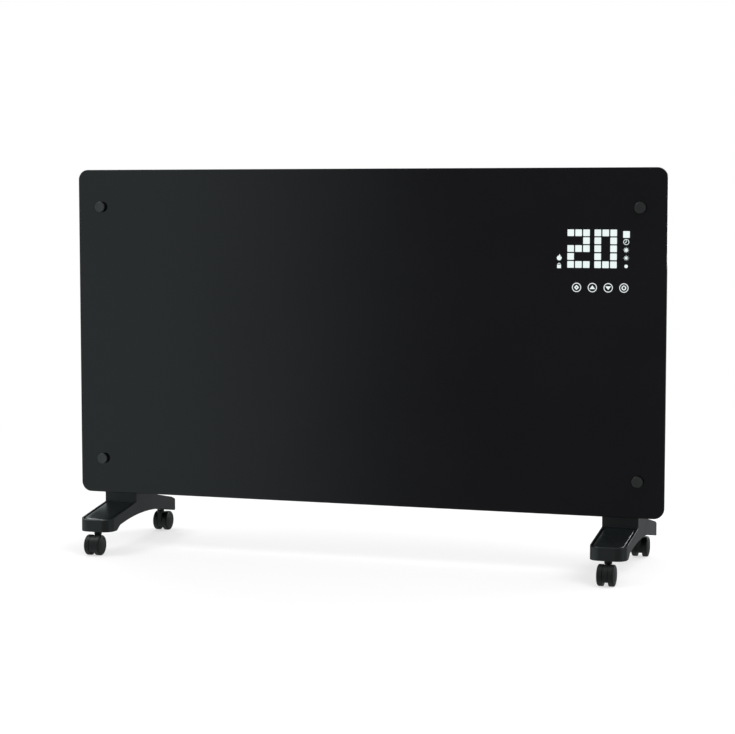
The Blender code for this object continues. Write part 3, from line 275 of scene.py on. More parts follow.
NODE_LOOKS = (
    ("front_glass", GLASS),
    ("glass_stud", STUD),
    ("glass_grommet", RUBBER),
    ("light_mask", GRILLE),
    ("display_board", BOARD),
    ("control_board", BOARD),
    ("chassis_plate", COAT),
    ("rear_casing", COAT),
    ("casing_screw", STEEL),
    ("top_grille", GRILLE),
    ("heating_element", ALUMINIUM),
    ("element_bracket", STEEL),
    ("thermal_cutout", STEEL),
    ("tip_over_switch", MODULE),
    ("temperature_probe", MODULE),
    ("control_housing", MODULE),
    ("terminal_block", MODULE),
    ("switch", GRILLE),
    ("cord_bushing", RUBBER),
    ("foot_screw", STEEL),
    ("foot", FOOT),
    ("castor_stem", STEEL),
    ("castor_axle", STEEL),
    ("castor", CASTOR),
)
for node_name, node in nodes.items():
    look = next(material for start, material in NODE_LOOKS if node_name.startswith(start))
    node.data.materials.clear()
    node.data.materials.append(look)


# Shapes

DOUBLE_WITHIN = 0.000005
FLAT_WITHIN = math.radians(0.5)


def new_object(name, mesh):
    obj = bpy.data.objects.new(name, mesh)
    bpy.context.scene.collection.objects.link(obj)
    return obj


def from_bmesh(name, bm):
    bmesh.ops.recalc_face_normals(bm, faces=bm.faces[:])
    mesh = bpy.data.meshes.new(name)
    bm.to_mesh(mesh)
    bm.free()
    return new_object(name, mesh)


def prism(name, outline, place, low, high):
    """An outline pushed from low to high. place turns (u, v, height) into a point."""
    bm = bmesh.new()
    bottom = [bm.verts.new(place(u, v, low)) for u, v in outline]
    top = [bm.verts.new(place(u, v, high)) for u, v in outline]
    bm.faces.new(bottom)
    bm.faces.new(top)
    for i in range(len(outline)):
        j = (i + 1) % len(outline)
        bm.faces.new((bottom[i], bottom[j], top[j], top[i]))
    return from_bmesh(name, bm)


def along_x(u, v, h):
    return (h, u, v)


def along_y(u, v, h):
    return (u, h, v)


def along_z(u, v, h):
    return (u, v, h)


def turned(name, profile, place, centre, steps):
    """A closed profile of (radius, distance along the axis) turned round the axis at centre."""
    bm = bmesh.new()
    rings = []
    for radius, along in profile:
        count = 1 if radius < 1e-7 else steps
        ring = []
        for i in range(count):
            angle = 2 * math.pi * i / steps
            point = Vector(place(radius * math.cos(angle), radius * math.sin(angle), along))
            ring.append(bm.verts.new(point + Vector(centre)))
        rings.append(ring)
    for first, second in zip(rings, rings[1:] + rings[:1]):
        if len(first) == 1 and len(second) == 1:
            continue
        for i in range(steps):
            j = (i + 1) % steps
            near = [first[k % len(first)] for k in (i, j)]
            far = [second[k % len(second)] for k in (j, i)]
            bm.faces.new(dict.fromkeys(near + far))
    return from_bmesh(name, bm)


def arc(centre, radius, start, end, steps):
    """steps + 1 points from start to end, in degrees."""
    angles = [math.radians(start + (end - start) * i / steps) for i in range(steps + 1)]
    return [(centre[0] + radius * math.cos(a), centre[1] + radius * math.sin(a)) for a in angles]


def circle(centre, radius, count, start=0.0):
    """count points round a whole circle."""
    return arc(centre, radius, start, start + 360 - 360 / count, count - 1)


def rounded(centre, width, height, radius, steps):
    """A rectangle with round corners."""
    u, v = width / 2 - radius, height / 2 - radius
    points = []
    for quarter, (du, dv) in enumerate(((u, v), (-u, v), (-u, -v), (u, -v))):
        points += arc((centre[0] + du, centre[1] + dv), radius, 90 * quarter, 90 * quarter + 90, steps)
    return points


def evaluated(obj):
    """obj's mesh with its modifiers applied."""
    bpy.context.view_layer.update()
    graph = bpy.context.evaluated_depsgraph_get()
    mesh = bpy.data.meshes.new_from_object(obj.evaluated_get(graph))
    obj.modifiers.clear()
    old = obj.data
    obj.data = mesh
    bpy.data.meshes.remove(old)
    return obj


def boolean(obj, operation, *others):
    """obj with the others joined, cut away or kept, one after another. The others are removed."""
    for other in others:
        modifier = obj.modifiers.new(operation.lower(), "BOOLEAN")
        modifier.operation = operation
        modifier.solver = "EXACT"
        modifier.object = other
        evaluated(obj)
        bpy.data.objects.remove(other)
    return obj


def tidy(obj):
    """Joins the doubled points and flat faces that a Boolean leaves."""
    bm = bmesh.new()
    bm.from_mesh(obj.data)
    bmesh.ops.remove_doubles(bm, verts=bm.verts[:], dist=DOUBLE_WITHIN)
    bmesh.ops.dissolve_degenerate(bm, edges=bm.edges[:], dist=DOUBLE_WITHIN)
    bmesh.ops.dissolve_limit(
        bm, angle_limit=FLAT_WITHIN, verts=bm.verts[:], edges=bm.edges[:], delimit={"NORMAL"}
    )
    bm.to_mesh(obj.data)
    bm.free()
    return obj


def bevelled(obj, width, segments, angle=30):
    """obj with a bevel on each edge that is sharper than angle."""
    modifier = obj.modifiers.new("edges", "BEVEL")
    modifier.width = width
    modifier.segments = segments
    modifier.limit_method = "ANGLE"
    modifier.angle_limit = math.radians(angle)
    return evaluated(obj)


def smooth(obj, angle=35):
    """Smooth shading that keeps flat faces flat, and keeps edges sharp that turn by more than angle."""
    bm = bmesh.new()
    bm.from_mesh(obj.data)
    limit = math.radians(angle)
    for edge in bm.edges:
        edge.smooth = len(edge.link_faces) == 2 and edge.calc_face_angle(0.0) < limit
    for face in bm.faces:
        face.smooth = True
    bm.to_mesh(obj.data)
    bm.free()
    modifier = obj.modifiers.new("normals", "WEIGHTED_NORMAL")
    modifier.keep_sharp = True
    return evaluated(obj)


def finish(obj, material, body, slot, *replaced, angle=35):
    """Shades a piece, gives it its material and its body, and hides the nodes that it stands for. slot
    is not used.
    """
    obj.data.materials.clear()
    obj.data.materials.append(material)
    for polygon in obj.data.polygons:
        polygon.material_index = 0
    smooth(obj, angle)
    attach(obj, body)
    if replaced:
        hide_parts(*replaced)
    return obj


# The glass and its studs

GLASS_W, GLASS_H, GLASS_BOTTOM, GLASS_TOP = 0.830, 0.4532, 0.0757, 0.5289
GLASS_FRONT, GLASS_BACK = -0.035, -0.031
STUD_AT = {
    "tl": (-0.3806, 0.4774),
    "tr": (0.3806, 0.4774),
    "bl": (-0.3806, 0.1237),
    "br": (0.3806, 0.1237),
}
GLASS_CORNER_R, GLASS_EDGE, STUD_HOLE_R = 0.014, 0.0007, 0.0048
STUD_R, STUD_ROUND, SHANK_R, THREAD_R, STUD_TIP_R = 0.0073, 0.0008, 0.0030, 0.0027, 0.0024
CAP_BACK, CAP_EDGE, THREAD_START, THREAD_PITCH, THREAD_TURNS = -0.0362, 0.0004, -0.030, 0.0006, 14
CAP_BACK_R = 0.0069
CAP_FACE = ((0.0, 0.00012), (0.0050, 0.00004))  # Radius, and depth behind the foremost point
STUD_ARC = [math.radians(90 * i / 5) for i in range(6)]


def make_glass():
    middle = (0.0, (GLASS_BOTTOM + GLASS_TOP) / 2)
    outline = rounded(middle, GLASS_W, GLASS_H, GLASS_CORNER_R, 20)
    glass = prism("glass_panel", outline, along_y, GLASS_FRONT, GLASS_BACK)
    bevelled(glass, GLASS_EDGE, 4)
    for place in STUD_AT.values():
        hole = circle(place, STUD_HOLE_R, 48)
        cutter = prism("glass_hole", hole, along_y, GLASS_FRONT - OVER, GLASS_BACK + OVER)
        boolean(glass, "DIFFERENCE", cutter)
    finish(glass, GLASS, "heater", "black_glass", "front_glass")


def make_stud(key):
    """A cap with a slightly hollow face and a rounded rim, and a threaded shank behind it."""
    x, z = STUD_AT[key]
    low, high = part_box(f"glass_stud_{key}")
    front, back = low.y, high.y
    profile = [(radius, front + depth) for radius, depth in CAP_FACE]
    profile += [
        (STUD_R - STUD_ROUND + STUD_ROUND * math.sin(a), front + STUD_ROUND - STUD_ROUND * math.cos(a))
        for a in STUD_ARC
    ]
    profile += [(STUD_R, CAP_BACK - CAP_EDGE), (CAP_BACK_R, CAP_BACK), (SHANK_R, CAP_BACK)]
    for number in range(THREAD_TURNS):
        start = THREAD_START + number * THREAD_PITCH
        if start + THREAD_PITCH < back - THREAD_PITCH:
            profile += [(SHANK_R, start), (THREAD_R, start + THREAD_PITCH / 2)]
    profile += [(SHANK_R, back - THREAD_PITCH), (STUD_TIP_R, back), (0.0, back)]
    stud = turned(f"stud_{key}", profile, along_y, (x, 0, z), 48)
    finish(stud, STUD, "heater", "stud_metal", f"glass_stud_{key}", angle=40)


make_glass()
for corner in CORNERS:
    make_stud(corner)


# Lit markings on the glass, placed from its left edge and down from its top edge in millimetres.
# Their sizes are in metres, and the outlines drawn by points are in millimetres.

MARK_FRONT, MARK_BACK = GLASS_FRONT - 0.00004, GLASS_FRONT + 0.0002
CELL, CELL_CORNER = 0.0086, 0.0006
DIGITS = {
    "2": (714.7, ("111", "001", "111", "100", "111")),
    "0": (750.3, ("111", "101", "101", "101", "111")),
}
DIGIT_ROWS = (84.0, 94.2, 104.4, 114.7, 125.0)
DIGIT_PITCH = 10.35
SQUARE_AT = (777.3, 85.9)

CLOCK_AT, CLOCK_OUTER, CLOCK_INNER = (777.1, 95.6), 0.0038, 0.0030
HANDS, HAND_WIDTH = (((0.0, 0.0), (0.0, 0.0023)), ((0.0003, 0.0002), (-0.0018, -0.0012))), 0.0008
SUNS = (((777.1, 105.9), 0.0017), ((777.1, 116.1), 0.0013))
SUN_POINTS, SUN_REACH = 16, 0.0041
DOT_AT, DOT_R = (777.2, 126.8), 0.0024
FLAME_AT = (689.2, 116.0)
FLAME = (
    (0.3, 4.2),
    (-0.4, 2.3),
    (-2.2, 1.6),
    (-3.3, -0.4),
    (-2.6, -2.6),
    (-1.0, -3.8),
    (1.2, -3.8),
    (2.8, -2.4),
    (3.4, -0.2),
    (2.6, 1.2),
    (1.9, 0.6),
    (1.6, 2.6),
)
LOCK_AT, LOCK_SIZE, LOCK_DROP = (689.1, 126.5), (0.0052, 0.0044), 0.0013
SHACKLE_OUTER, SHACKLE_INNER, SHACKLE_RISE = 0.0021, 0.0013, 0.0012

TOUCH_RIGHT, TOUCH_DOWN = (712.5, 733.3, 754.1, 774.6), 154.7
TOUCH_OUTER, TOUCH_INNER = 0.0060, 0.0050
DIAMOND = ((3.4, 0.9), (1.1, 0.4))  # Reach and corner of its outline, and of its hole
ARROW, ARROW_CORNER = ((-3.7, -1.9), (3.7, -1.9), (0.0, 2.9)), 0.5
POWER_OUTER, POWER_INNER, POWER_GAP = 0.0031, 0.0017, 50.0
POWER_BAR, POWER_BAR_WIDTH = (0.0016, 0.0036), 0.0011


def on_glass(place):
    right, down = place
    return (right / 1000 - GLASS_W / 2, GLASS_TOP - down / 1000)


def flat_mark(bm, outer, inner=None):
    """A thin lit shape with, if inner is given, one hole that has as many points as the outline."""
    count = len(outer)
    loops = [outer] if inner is None else [outer, inner]
    rings = []
    for depth in (MARK_FRONT, MARK_BACK):
        rings.append([[bm.verts.new((u, depth, v)) for u, v in loop] for loop in loops])
    for near, far in zip(rings[0], rings[1]):
        for i in range(count):
            j = (i + 1) % count
            bm.faces.new((near[i], near[j], far[j], far[i]))
    for level in rings:
        if inner is None:
            bm.faces.new(level[0])
            continue
        for i in range(count):
            j = (i + 1) % count
            bm.faces.new((level[0][i], level[0][j], level[1][j], level[1][i]))


def ring_mark(bm, centre, outer_r, inner_r, count):
    flat_mark(bm, circle(centre, outer_r, count), circle(centre, inner_r, count))


def bow_mark(bm, centre, outer_r, inner_r, steps, start, end):
    """The part of a ring from start to end, in degrees."""
    outer = arc(centre, outer_r, start, end, steps)
    flat_mark(bm, outer + arc(centre, inner_r, end, start, steps))


def bar_mark(bm, first, second, width):
    """A straight bar from first to second."""
    u, v = second[0] - first[0], second[1] - first[1]
    length = math.hypot(u, v)
    du, dv = -v / length * width / 2, u / length * width / 2
    corners = [(first, 1), (second, 1), (second, -1), (first, -1)]
    flat_mark(bm, [(p[0] + s * du, p[1] + s * dv) for p, s in corners])


def polygon_mark(bm, centre, points):
    flat_mark(bm, [(centre[0] + u * 0.001, centre[1] + v * 0.001) for u, v in points])


def digit_marks():
    """The temperature's cells, and the square at its upper right."""
    bm = bmesh.new()
    for column_middle, rows in DIGITS.values():
        for down, row in zip(DIGIT_ROWS, rows):
            for column, cell in enumerate(row):
                if cell == "1":
                    centre = on_glass((column_middle + (column - 1) * DIGIT_PITCH, down))
                    flat_mark(bm, rounded(centre, CELL, CELL, CELL_CORNER, 3))
    flat_mark(bm, rounded(on_glass(SQUARE_AT), CELL, CELL, CELL_CORNER, 3))
    finish(from_bmesh("lit_digits", bm), LIGHT, "heater", "display_light")


def icon_marks():
    """Beside the digits: a clock, two suns and a dot on the right, a flame and a lock on the left."""
    bm = bmesh.new()
    x, z = on_glass(CLOCK_AT)
    ring_mark(bm, (x, z), CLOCK_OUTER, CLOCK_INNER, 40)
    for start, end in HANDS:
        bar_mark(bm, (x + start[0], z + start[1]), (x + end[0], z + end[1]), HAND_WIDTH)
    for place, hollow in SUNS:
        x, z = on_glass(place)
        star = []
        for i in range(SUN_POINTS):
            a = math.radians(360 / SUN_POINTS * i)
            reach = SUN_REACH if i % 2 == 0 else hollow
            star.append((x + reach * math.cos(a), z + reach * math.sin(a)))
        flat_mark(bm, star)
    flat_mark(bm, circle(on_glass(DOT_AT), DOT_R, 8))
    polygon_mark(bm, on_glass(FLAME_AT), FLAME)
    x, z = on_glass(LOCK_AT)
    flat_mark(bm, rounded((x, z - LOCK_DROP), *LOCK_SIZE, CELL_CORNER, 3))
    bow_mark(bm, (x, z + SHACKLE_RISE), SHACKLE_OUTER, SHACKLE_INNER, 16, 0.0, 180.0)
    finish(from_bmesh("lit_icons", bm), LIGHT, "heater", "display_light")


def touch_marks():
    """Four rings: round a diamond, an arrow up, an arrow down and a power sign."""
    bm = bmesh.new()
    centres = [on_glass((right, TOUCH_DOWN)) for right in TOUCH_RIGHT]
    for centre in centres:
        ring_mark(bm, centre, TOUCH_OUTER, TOUCH_INNER, 48)
    x, z = centres[0]
    diamond = []
    for reach, corner in DIAMOND:
        points = softened([(0.0, reach), (-reach, 0.0), (0.0, -reach), (reach, 0.0)], corner)
        diamond.append([(x + u / 1000, z + v / 1000) for u, v in points])
    flat_mark(bm, *diamond)
    polygon_mark(bm, centres[1], softened(ARROW, ARROW_CORNER))
    polygon_mark(bm, centres[2], softened([(u, -v) for u, v in reversed(ARROW)], ARROW_CORNER))
    x, z = centres[3]
    bow_mark(bm, (x, z), POWER_OUTER, POWER_INNER, 40, 90 + POWER_GAP / 2, 450 - POWER_GAP / 2)
    bar_mark(bm, (x, z + POWER_BAR[0]), (x, z + POWER_BAR[1]), POWER_BAR_WIDTH)
    finish(from_bmesh("lit_touch_marks", bm), ICON_LIGHT, "heater", "display_light")


def softened(points, amount, steps=4):
    """A polygon with its corners cut round, amount in the same unit as its points."""
    result = []
    count = len(points)
    for i, corner in enumerate(points):
        before, after = Vector(points[i - 1]), Vector(points[(i + 1) % count])
        corner = Vector(corner)
        start = corner + (before - corner).normalized() * amount
        end = corner + (after - corner).normalized() * amount
        for step in range(steps + 1):
            t = step / steps
            point = start * (1 - t) ** 2 + corner * 2 * t * (1 - t) + end * t**2
            result.append((point.x, point.y))
    return result


digit_marks()
icon_marks()
touch_marks()


# Feet. Heights are above the floor.

FOOT_X, FOOT_W, FOOT_FRONT, FOOT_REAR = 0.357, 0.048, -0.116, 0.1145
FOOT_CORNER_R, FOOT_EDGE, WALL, PLAN_TOP = 0.014, 0.0013, 0.003, 0.2
PAD, NECK_TOP, NECK_FRONT, CASING_BACK = 0.032, 0.0834, -0.0304, 0.028
FRONT_TOP, SLOPE_TOP, SHOULDER, REAR_TOP = 0.0482, 0.0622, 0.0663, 0.0415
KNEE = (0.092, 0.0530)
REAR_CORNER = ((0.1070, 0.0475), (0.1120, 0.0455))
ARCH_R, CROWN_Y, CROWN_Z, ARCH_STEPS = 0.440, -0.006, 0.0451, 24
NOTCH_Y, NOTCH_FOOT_Y = -0.084, -0.0937
COVER_MARGIN, COVER_T, COVER_PROUD, GROOVE, CLEAR = 0.0028, 0.0025, 0.0004, 0.0004, 0.0003
COVER_BACK, RECESS_REACH = NECK_FRONT - 0.004, 0.02
# How far in from the cover's edge, and how far below its top there, in millimetres
COVER_EDGE = (
    (0.0, 2.85),
    (0.2, 2.6),
    (0.9, 1.9),
    (1.6, 1.25),
    (2.3, 0.65),
    (3.0, 0.42),
    (4.2, 0.24),
    (5.6, 0.10),
    (7.2, 0.03),
    (8.8, 0.0),
)
SCREW_SEAT, SCREW_YS, POST_R, WELL_R, SCREW_BORE_R = 0.0562, (-0.0162, 0.0138), 0.0044, 0.0047, 0.0027
STEM_Y, SOCKET_R, SOCKET_TOP, SOCKET_ROOM, RIB_HALF = 0.1045, 0.0031, 0.0448, 0.008, 0.0015


def arch_z(y):
    """The height of the underside."""
    return CROWN_Z - ARCH_R + math.sqrt(ARCH_R**2 - (y - CROWN_Y) ** 2)


def slope_z(y):
    """The height of the top in front of the neck."""
    return FRONT_TOP + (y - FOOT_FRONT) / (NECK_FRONT - FOOT_FRONT) * (SLOPE_TOP - FRONT_TOP)


def rear_z(y):
    """The height of the top behind the casing."""
    return SHOULDER + (y - CASING_BACK) / (KNEE[0] - CASING_BACK) * (KNEE[1] - SHOULDER)


def foot_side_view():
    """The foot's outline as (y, z), with the step in front of the arch."""
    drop = CROWN_Z - PAD
    arch_end = CROWN_Y + math.sqrt(2 * ARCH_R * drop - drop**2)
    top = [
        (FOOT_FRONT, PAD),
        (FOOT_FRONT, FRONT_TOP),
        (NECK_FRONT, SLOPE_TOP),
        (NECK_FRONT, NECK_TOP),
        (CASING_BACK, NECK_TOP),
        (CASING_BACK, SHOULDER),
        KNEE,
        *REAR_CORNER,
        (FOOT_REAR, REAR_TOP),
        (FOOT_REAR, PAD),
    ]
    ys = [arch_end + (NOTCH_Y - arch_end) * i / ARCH_STEPS for i in range(ARCH_STEPS + 1)]
    arch = [(y, arch_z(y)) for y in ys]
    step = [((NOTCH_FOOT_Y + NOTCH_Y) / 2, (arch_z(NOTCH_Y) + PAD) / 2), (NOTCH_FOOT_Y, PAD)]
    return top + arch + step


def cover_plan(grow):
    """The cover's outline from above, grown by grow all round."""
    margin = COVER_MARGIN - grow
    half, front, back = FOOT_W / 2 - margin, FOOT_FRONT + margin, COVER_BACK + grow
    radius = FOOT_CORNER_R - margin
    points = arc((-half + radius, front + radius), radius, 180, 270, 12)
    points += arc((half - radius, front + radius), radius, 270, 360, 12)
    return points + [(half, back), (-half, back)]


def recess(centre):
    """What is cut from the foot for its cover: the cover's plan, grown by the groove round it."""
    plan = [(x + centre, y) for x, y in cover_plan(GROOVE)]
    slab = prism("recess", plan, along_z, PAD, NECK_TOP)
    front, back = FOOT_FRONT - OVER, NECK_FRONT + OVER
    under, over = -COVER_T - CLEAR, RECESS_REACH
    band = [
        (front, slope_z(front) + under),
        (back, slope_z(back) + under),
        (back, slope_z(back) + over),
        (front, slope_z(front) + over),
    ]
    return boolean(slab, "INTERSECT", prism("band", band, along_x, centre - FOOT_W, centre + FOOT_W))


def pillow(name, centre):
    """The foot's cover: a crowned, sloped slab with a softened bevel round its top."""
    levels = [(0.0, -COVER_T)]
    levels += [(-inset / 1000, COVER_PROUD - drop / 1000) for inset, drop in COVER_EDGE]
    bm = bmesh.new()
    rings = []
    for grow, over in levels:
        rings.append([bm.verts.new((centre + x, y, slope_z(y) + over)) for x, y in cover_plan(grow)])
    count = len(rings[0])
    for low, high in zip(rings, rings[1:]):
        for i in range(count):
            j = (i + 1) % count
            bm.faces.new((low[i], low[j], high[j], high[i]))
    bm.faces.new(rings[0])
    bm.faces.new(rings[-1])
    return from_bmesh(name, bm)


def foot_hollows(centre):
    """The ribbed pockets, screw wells and castor sockets in the underside."""
    reach = FOOT_W / 2 - WALL
    post = POST_R + CLEAR + WALL
    spans = (
        (-STEM_Y + SOCKET_ROOM, SCREW_YS[0] - post, lambda y: slope_z(y) - COVER_T - CLEAR),
        (SCREW_YS[1] + post, STEM_Y - SOCKET_ROOM, lambda y: rear_z(max(y, CASING_BACK))),
    )
    for start, end, roof in spans:
        middle = (start + end) / 2
        for near, far in ((start, middle - RIB_HALF), (middle + RIB_HALF, end)):
            outline = [(near, PAD - OVER), (far, PAD - OVER)]
            outline += [(far, roof(far) - WALL), (near, roof(near) - WALL)]
            yield prism("pocket", outline, along_x, centre - reach, centre + reach)
    for y in (-STEM_Y, STEM_Y):
        yield prism("socket", circle((centre, y), SOCKET_R, 24), along_z, PAD - OVER, SOCKET_TOP)
    for y in SCREW_YS:
        yield prism("well", circle((centre, y), WELL_R, 24), along_z, PAD - OVER, SCREW_SEAT)
        bore = circle((centre, y), SCREW_BORE_R, 24)
        yield prism("bore", bore, along_z, SCREW_SEAT - OVER, NECK_TOP + OVER)


def make_foot(key, side):
    """A hollow foot with its neck, and the cover that lies in the front slope."""
    centre = side * FOOT_X
    left, right = centre - FOOT_W / 2, centre + FOOT_W / 2
    foot = prism(f"foot_shell_{key}", foot_side_view(), along_x, left, right)
    middle = (centre, (FOOT_FRONT + FOOT_REAR) / 2)
    plan = rounded(middle, FOOT_W, FOOT_REAR - FOOT_FRONT, FOOT_CORNER_R, 14)
    boolean(foot, "INTERSECT", prism("plan", plan, along_z, 0.0, PLAN_TOP))
    tidy(foot)
    bevelled(foot, FOOT_EDGE, 3, 24)
    boolean(foot, "DIFFERENCE", recess(centre), *foot_hollows(centre))
    tidy(foot)
    finish(foot, FOOT, "heater", "foot_plastic", f"foot_body_{key}")
    cover = pillow(f"foot_lid_{key}", centre)
    finish(cover, COVER, "heater", "foot_plastic", f"foot_cover_{key}")


# Castors

TRAIL, WHEEL_R, WHEEL_W, RIM, RIM_BACK = 0.0095, 0.014, 0.0079, 0.0021, 0.0007
BORE_R, BORE_DEPTH, WHEEL_IN = 0.0018, 0.0053, 0.0039
HOOD_W, HOOD_R, HOOD_LOW, HOOD_EDGE, HOOD_STEPS = 0.007, 0.0135, 0.0064, 0.00025, 60
NECK_SIZE, NECK_ROUND = (0.0068, 0.0080), 0.0012
COLLAR_R, COLLAR_LOW, COLLAR_TOP, COLLAR_EDGE, COLLAR_CHAMFER = 0.0051, 0.02695, 0.0312, 0.0004, 0.0005
STEM_BORE_R, STEM_BORE_LOW, AXLE_BORE_REACH = 0.0027, 0.0202, 0.01


def wheel_profile():
    """A rounded tyre, a shallow ring and a hub cap, as radius and distance out from the inner face."""
    edge = [
        (WHEEL_R - RIM + RIM * math.cos(a), WHEEL_W - RIM_BACK - RIM + RIM * math.sin(a))
        for a in (math.radians(90 * i / 7) for i in range(8))
    ]
    inner_edge = [(WHEEL_R - 0.00025, 0.0), (WHEEL_R - 0.00007, 0.00007), (WHEEL_R, 0.00025)]
    dish = [
        (0.0100, 0.00038),
        (0.0093, 0.00038),
        (0.0090, 0.00060),
        (0.0082, 0.00060),
        (0.0079, 0.00035),
        (0.0060, 0.00014),
        (0.0030, 0.00002),
        (0.0, 0.0),
    ]
    face = [(radius, WHEEL_W - inset) for radius, inset in dish]
    return [(0.0, BORE_DEPTH), (BORE_R, BORE_DEPTH), (BORE_R, 0.0), *inner_edge, *edge, *face]


def make_castor(foot_key, side, end_key, way):
    """A hood between two wheels. way is -1 at the front of the foot and 1 at its rear."""
    key = f"{foot_key}_{end_key}"
    x, y = side * FOOT_X, way * STEM_Y
    axle_y = y + way * TRAIL
    swivel = f"swivel_{key}"
    start = math.acos((HOOD_LOW - WHEEL_R) / HOOD_R)
    web = [
        (axle_y + HOOD_R * math.sin(a), WHEEL_R + HOOD_R * math.cos(a))
        for a in (-start + 2 * start * i / HOOD_STEPS for i in range(HOOD_STEPS + 1))
    ]
    hood = prism(f"hood_{key}", web, along_x, x - HOOD_W / 2, x + HOOD_W / 2)
    neck = rounded((x, y), *NECK_SIZE, NECK_ROUND, 4)
    boolean(hood, "UNION", prism("neck", neck, along_z, WHEEL_R, COLLAR_LOW + OVER))
    tidy(hood)
    bevelled(hood, HOOD_EDGE, 2, 50)
    collar = [
        (0.0, COLLAR_LOW),
        (COLLAR_R - COLLAR_EDGE, COLLAR_LOW),
        (COLLAR_R, COLLAR_LOW + COLLAR_EDGE),
        (COLLAR_R, COLLAR_TOP - COLLAR_CHAMFER),
        (COLLAR_R - COLLAR_CHAMFER, COLLAR_TOP),
        (0.0, COLLAR_TOP),
    ]
    boolean(hood, "UNION", turned("collar", collar, along_z, (x, y, 0), 40))
    # The bore starts between two of the collar's points, where the cut leaves a closed mesh.
    stem_bore = circle((x, y), STEM_BORE_R, 40, start=4.5)
    axle_bore = circle((axle_y, WHEEL_R), BORE_R, 24)
    boolean(
        hood,
        "DIFFERENCE",
        prism("stem_bore", stem_bore, along_z, STEM_BORE_LOW, COLLAR_TOP + OVER),
        prism("axle_bore", axle_bore, along_x, x - AXLE_BORE_REACH, x + AXLE_BORE_REACH),
    )
    finish(hood, CASTOR, swivel, "castor_plastic", f"castor_hood_{key}")
    for wheel_side, out in SIDES.items():
        wheel_key = f"{key}_{wheel_side}"
        profile = [(radius, out * along) for radius, along in wheel_profile()]
        hub = (x + out * WHEEL_IN, axle_y, WHEEL_R)
        wheel = turned(f"wheel_{wheel_key}", profile, along_x, hub, 72)
        finish(wheel, CASTOR, f"wheel_{wheel_key}", "castor_plastic", f"castor_wheel_{wheel_key}")


for foot_key, foot_side in SIDES.items():
    make_foot(foot_key, foot_side)
    for end_key, end_way in ENDS.items():
        make_castor(foot_key, foot_side, end_key, end_way)


# Screw heads on the back

SCREW_HEAD_R, SCREW_HEAD_H, SCREW_RIM, SCREW_R, SCREW_TIP = 0.0032, 0.0014, 0.0004, 0.0015, 0.0004
CROSS_REACH, CROSS_HALF, CROSS_DEPTH = 0.0016, 0.00035, 0.0008


def make_casing_screw(corner):
    """A domed head with a cross recess, and a shank with a chamfered tip."""
    node = f"casing_screw_{corner}"
    low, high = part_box(node)
    x, z = (low.x + high.x) / 2, (low.z + high.z) / 2
    under = high.y - SCREW_HEAD_H
    dome = [
        (SCREW_HEAD_R * math.cos(a), under + SCREW_RIM + (SCREW_HEAD_H - SCREW_RIM) * math.sin(a))
        for a in (math.radians(90 * i / 8) for i in range(9))
    ]
    dome[-1] = (0.0, high.y)
    profile = [(0.0, low.y), (SCREW_R - SCREW_TIP, low.y), (SCREW_R, low.y + SCREW_TIP)]
    profile += [(SCREW_R, under), (SCREW_HEAD_R - SCREW_RIM / 2, under), *dome]
    screw = turned(f"screw_{corner}", profile, along_y, (x, 0, z), 36)
    arm, half = CROSS_REACH, CROSS_HALF
    cross = [(arm, -half), (arm, half), (half, half), (half, arm), (-half, arm), (-half, half)]
    cross += [(-arm, half), (-arm, -half), (-half, -half), (-half, -arm), (half, -arm), (half, -half)]
    cutter = [(x + u, z + v) for u, v in cross]
    boolean(screw, "DIFFERENCE", prism("cross", cutter, along_y, high.y - CROSS_DEPTH, high.y + OVER))
    finish(screw, STEEL, "heater", "steel", node)


for corner in CORNERS:
    make_casing_screw(corner)


# Floor, light and camera

FLOOR_REACH, FLOOR_GREY = 7.0, (0.93, 0.93, 0.93, 1)
# The share of plain white in the floor that the camera sees: FLOOR_LIFT near the heater, and all of it
# from FADE_END out
FLOOR_LIFT, FADE_START, FADE_END = 0.60, 0.6, 1.7
# The bearing is measured clockwise from behind the heater. The camera's side is near 180 degrees.
DIM_EDGES = ((0.0, 1.0, -164.8, -154.5), (1.0, 0.0, 90.0, 125.0))
DIM_COLOUR = (0.26, 0.26, 0.26)
GLOSS_COLOUR = (0.91, 1.05, 1.05)
FLOOR_GLOSS = (0.28, 0.29, 0.30)
# The gloss takes the floor's tone from the sides round to the back, and from above down to below
BEHIND, BENEATH = (0.0, 0.3), (-0.10, 0.75)
DOME = 0.72
LAMP_TARGET = (0.0, 0.0, 0.25)
# Solved from the corners of the glass in the photograph: millimetres, metres, degrees
LENS, CAMERA_AT, CAMERA_TURN = 99.124, (0.87024, -2.60955, 0.48929), (85.235, 0.0, 18.44)


def make_floor():
    """A matt floor that takes the object's shadow, and fades to plain white away from it."""
    corners = ((-1, -1), (1, -1), (1, 1), (-1, 1))
    bm = bmesh.new()
    bm.faces.new([bm.verts.new((u * FLOOR_REACH, v * FLOOR_REACH, 0)) for u, v in corners])
    floor = from_bmesh("floor", bm)
    material = bpy.data.materials.new("floor_white")
    material.use_nodes = True
    tree = material.node_tree
    tree.nodes.clear()
    path = tree.nodes.new("ShaderNodeLightPath")
    place = tree.nodes.new("ShaderNodeTexCoord").outputs["Object"]
    away = tree.nodes.new("ShaderNodeVectorMath")
    away.operation = "LENGTH"
    tree.links.new(place, away.inputs[0])
    share = spread(tree, away.outputs["Value"], FLOOR_LIFT, 1.0, FADE_START, FADE_END)
    lift = maths(tree, "MULTIPLY", path.outputs["Is Camera Ray"], share)
    matt = tree.nodes.new("ShaderNodeBsdfDiffuse")
    matt.inputs["Color"].default_value = FLOOR_GREY
    white = tree.nodes.new("ShaderNodeEmission")
    output = tree.nodes.new("ShaderNodeOutputMaterial")
    mixed = mix_shaders(tree, lift, matt.outputs[0], white.outputs[0])
    tree.links.new(mixed, output.inputs["Surface"])
    floor.data.materials.append(material)
    floor.visible_glossy = False


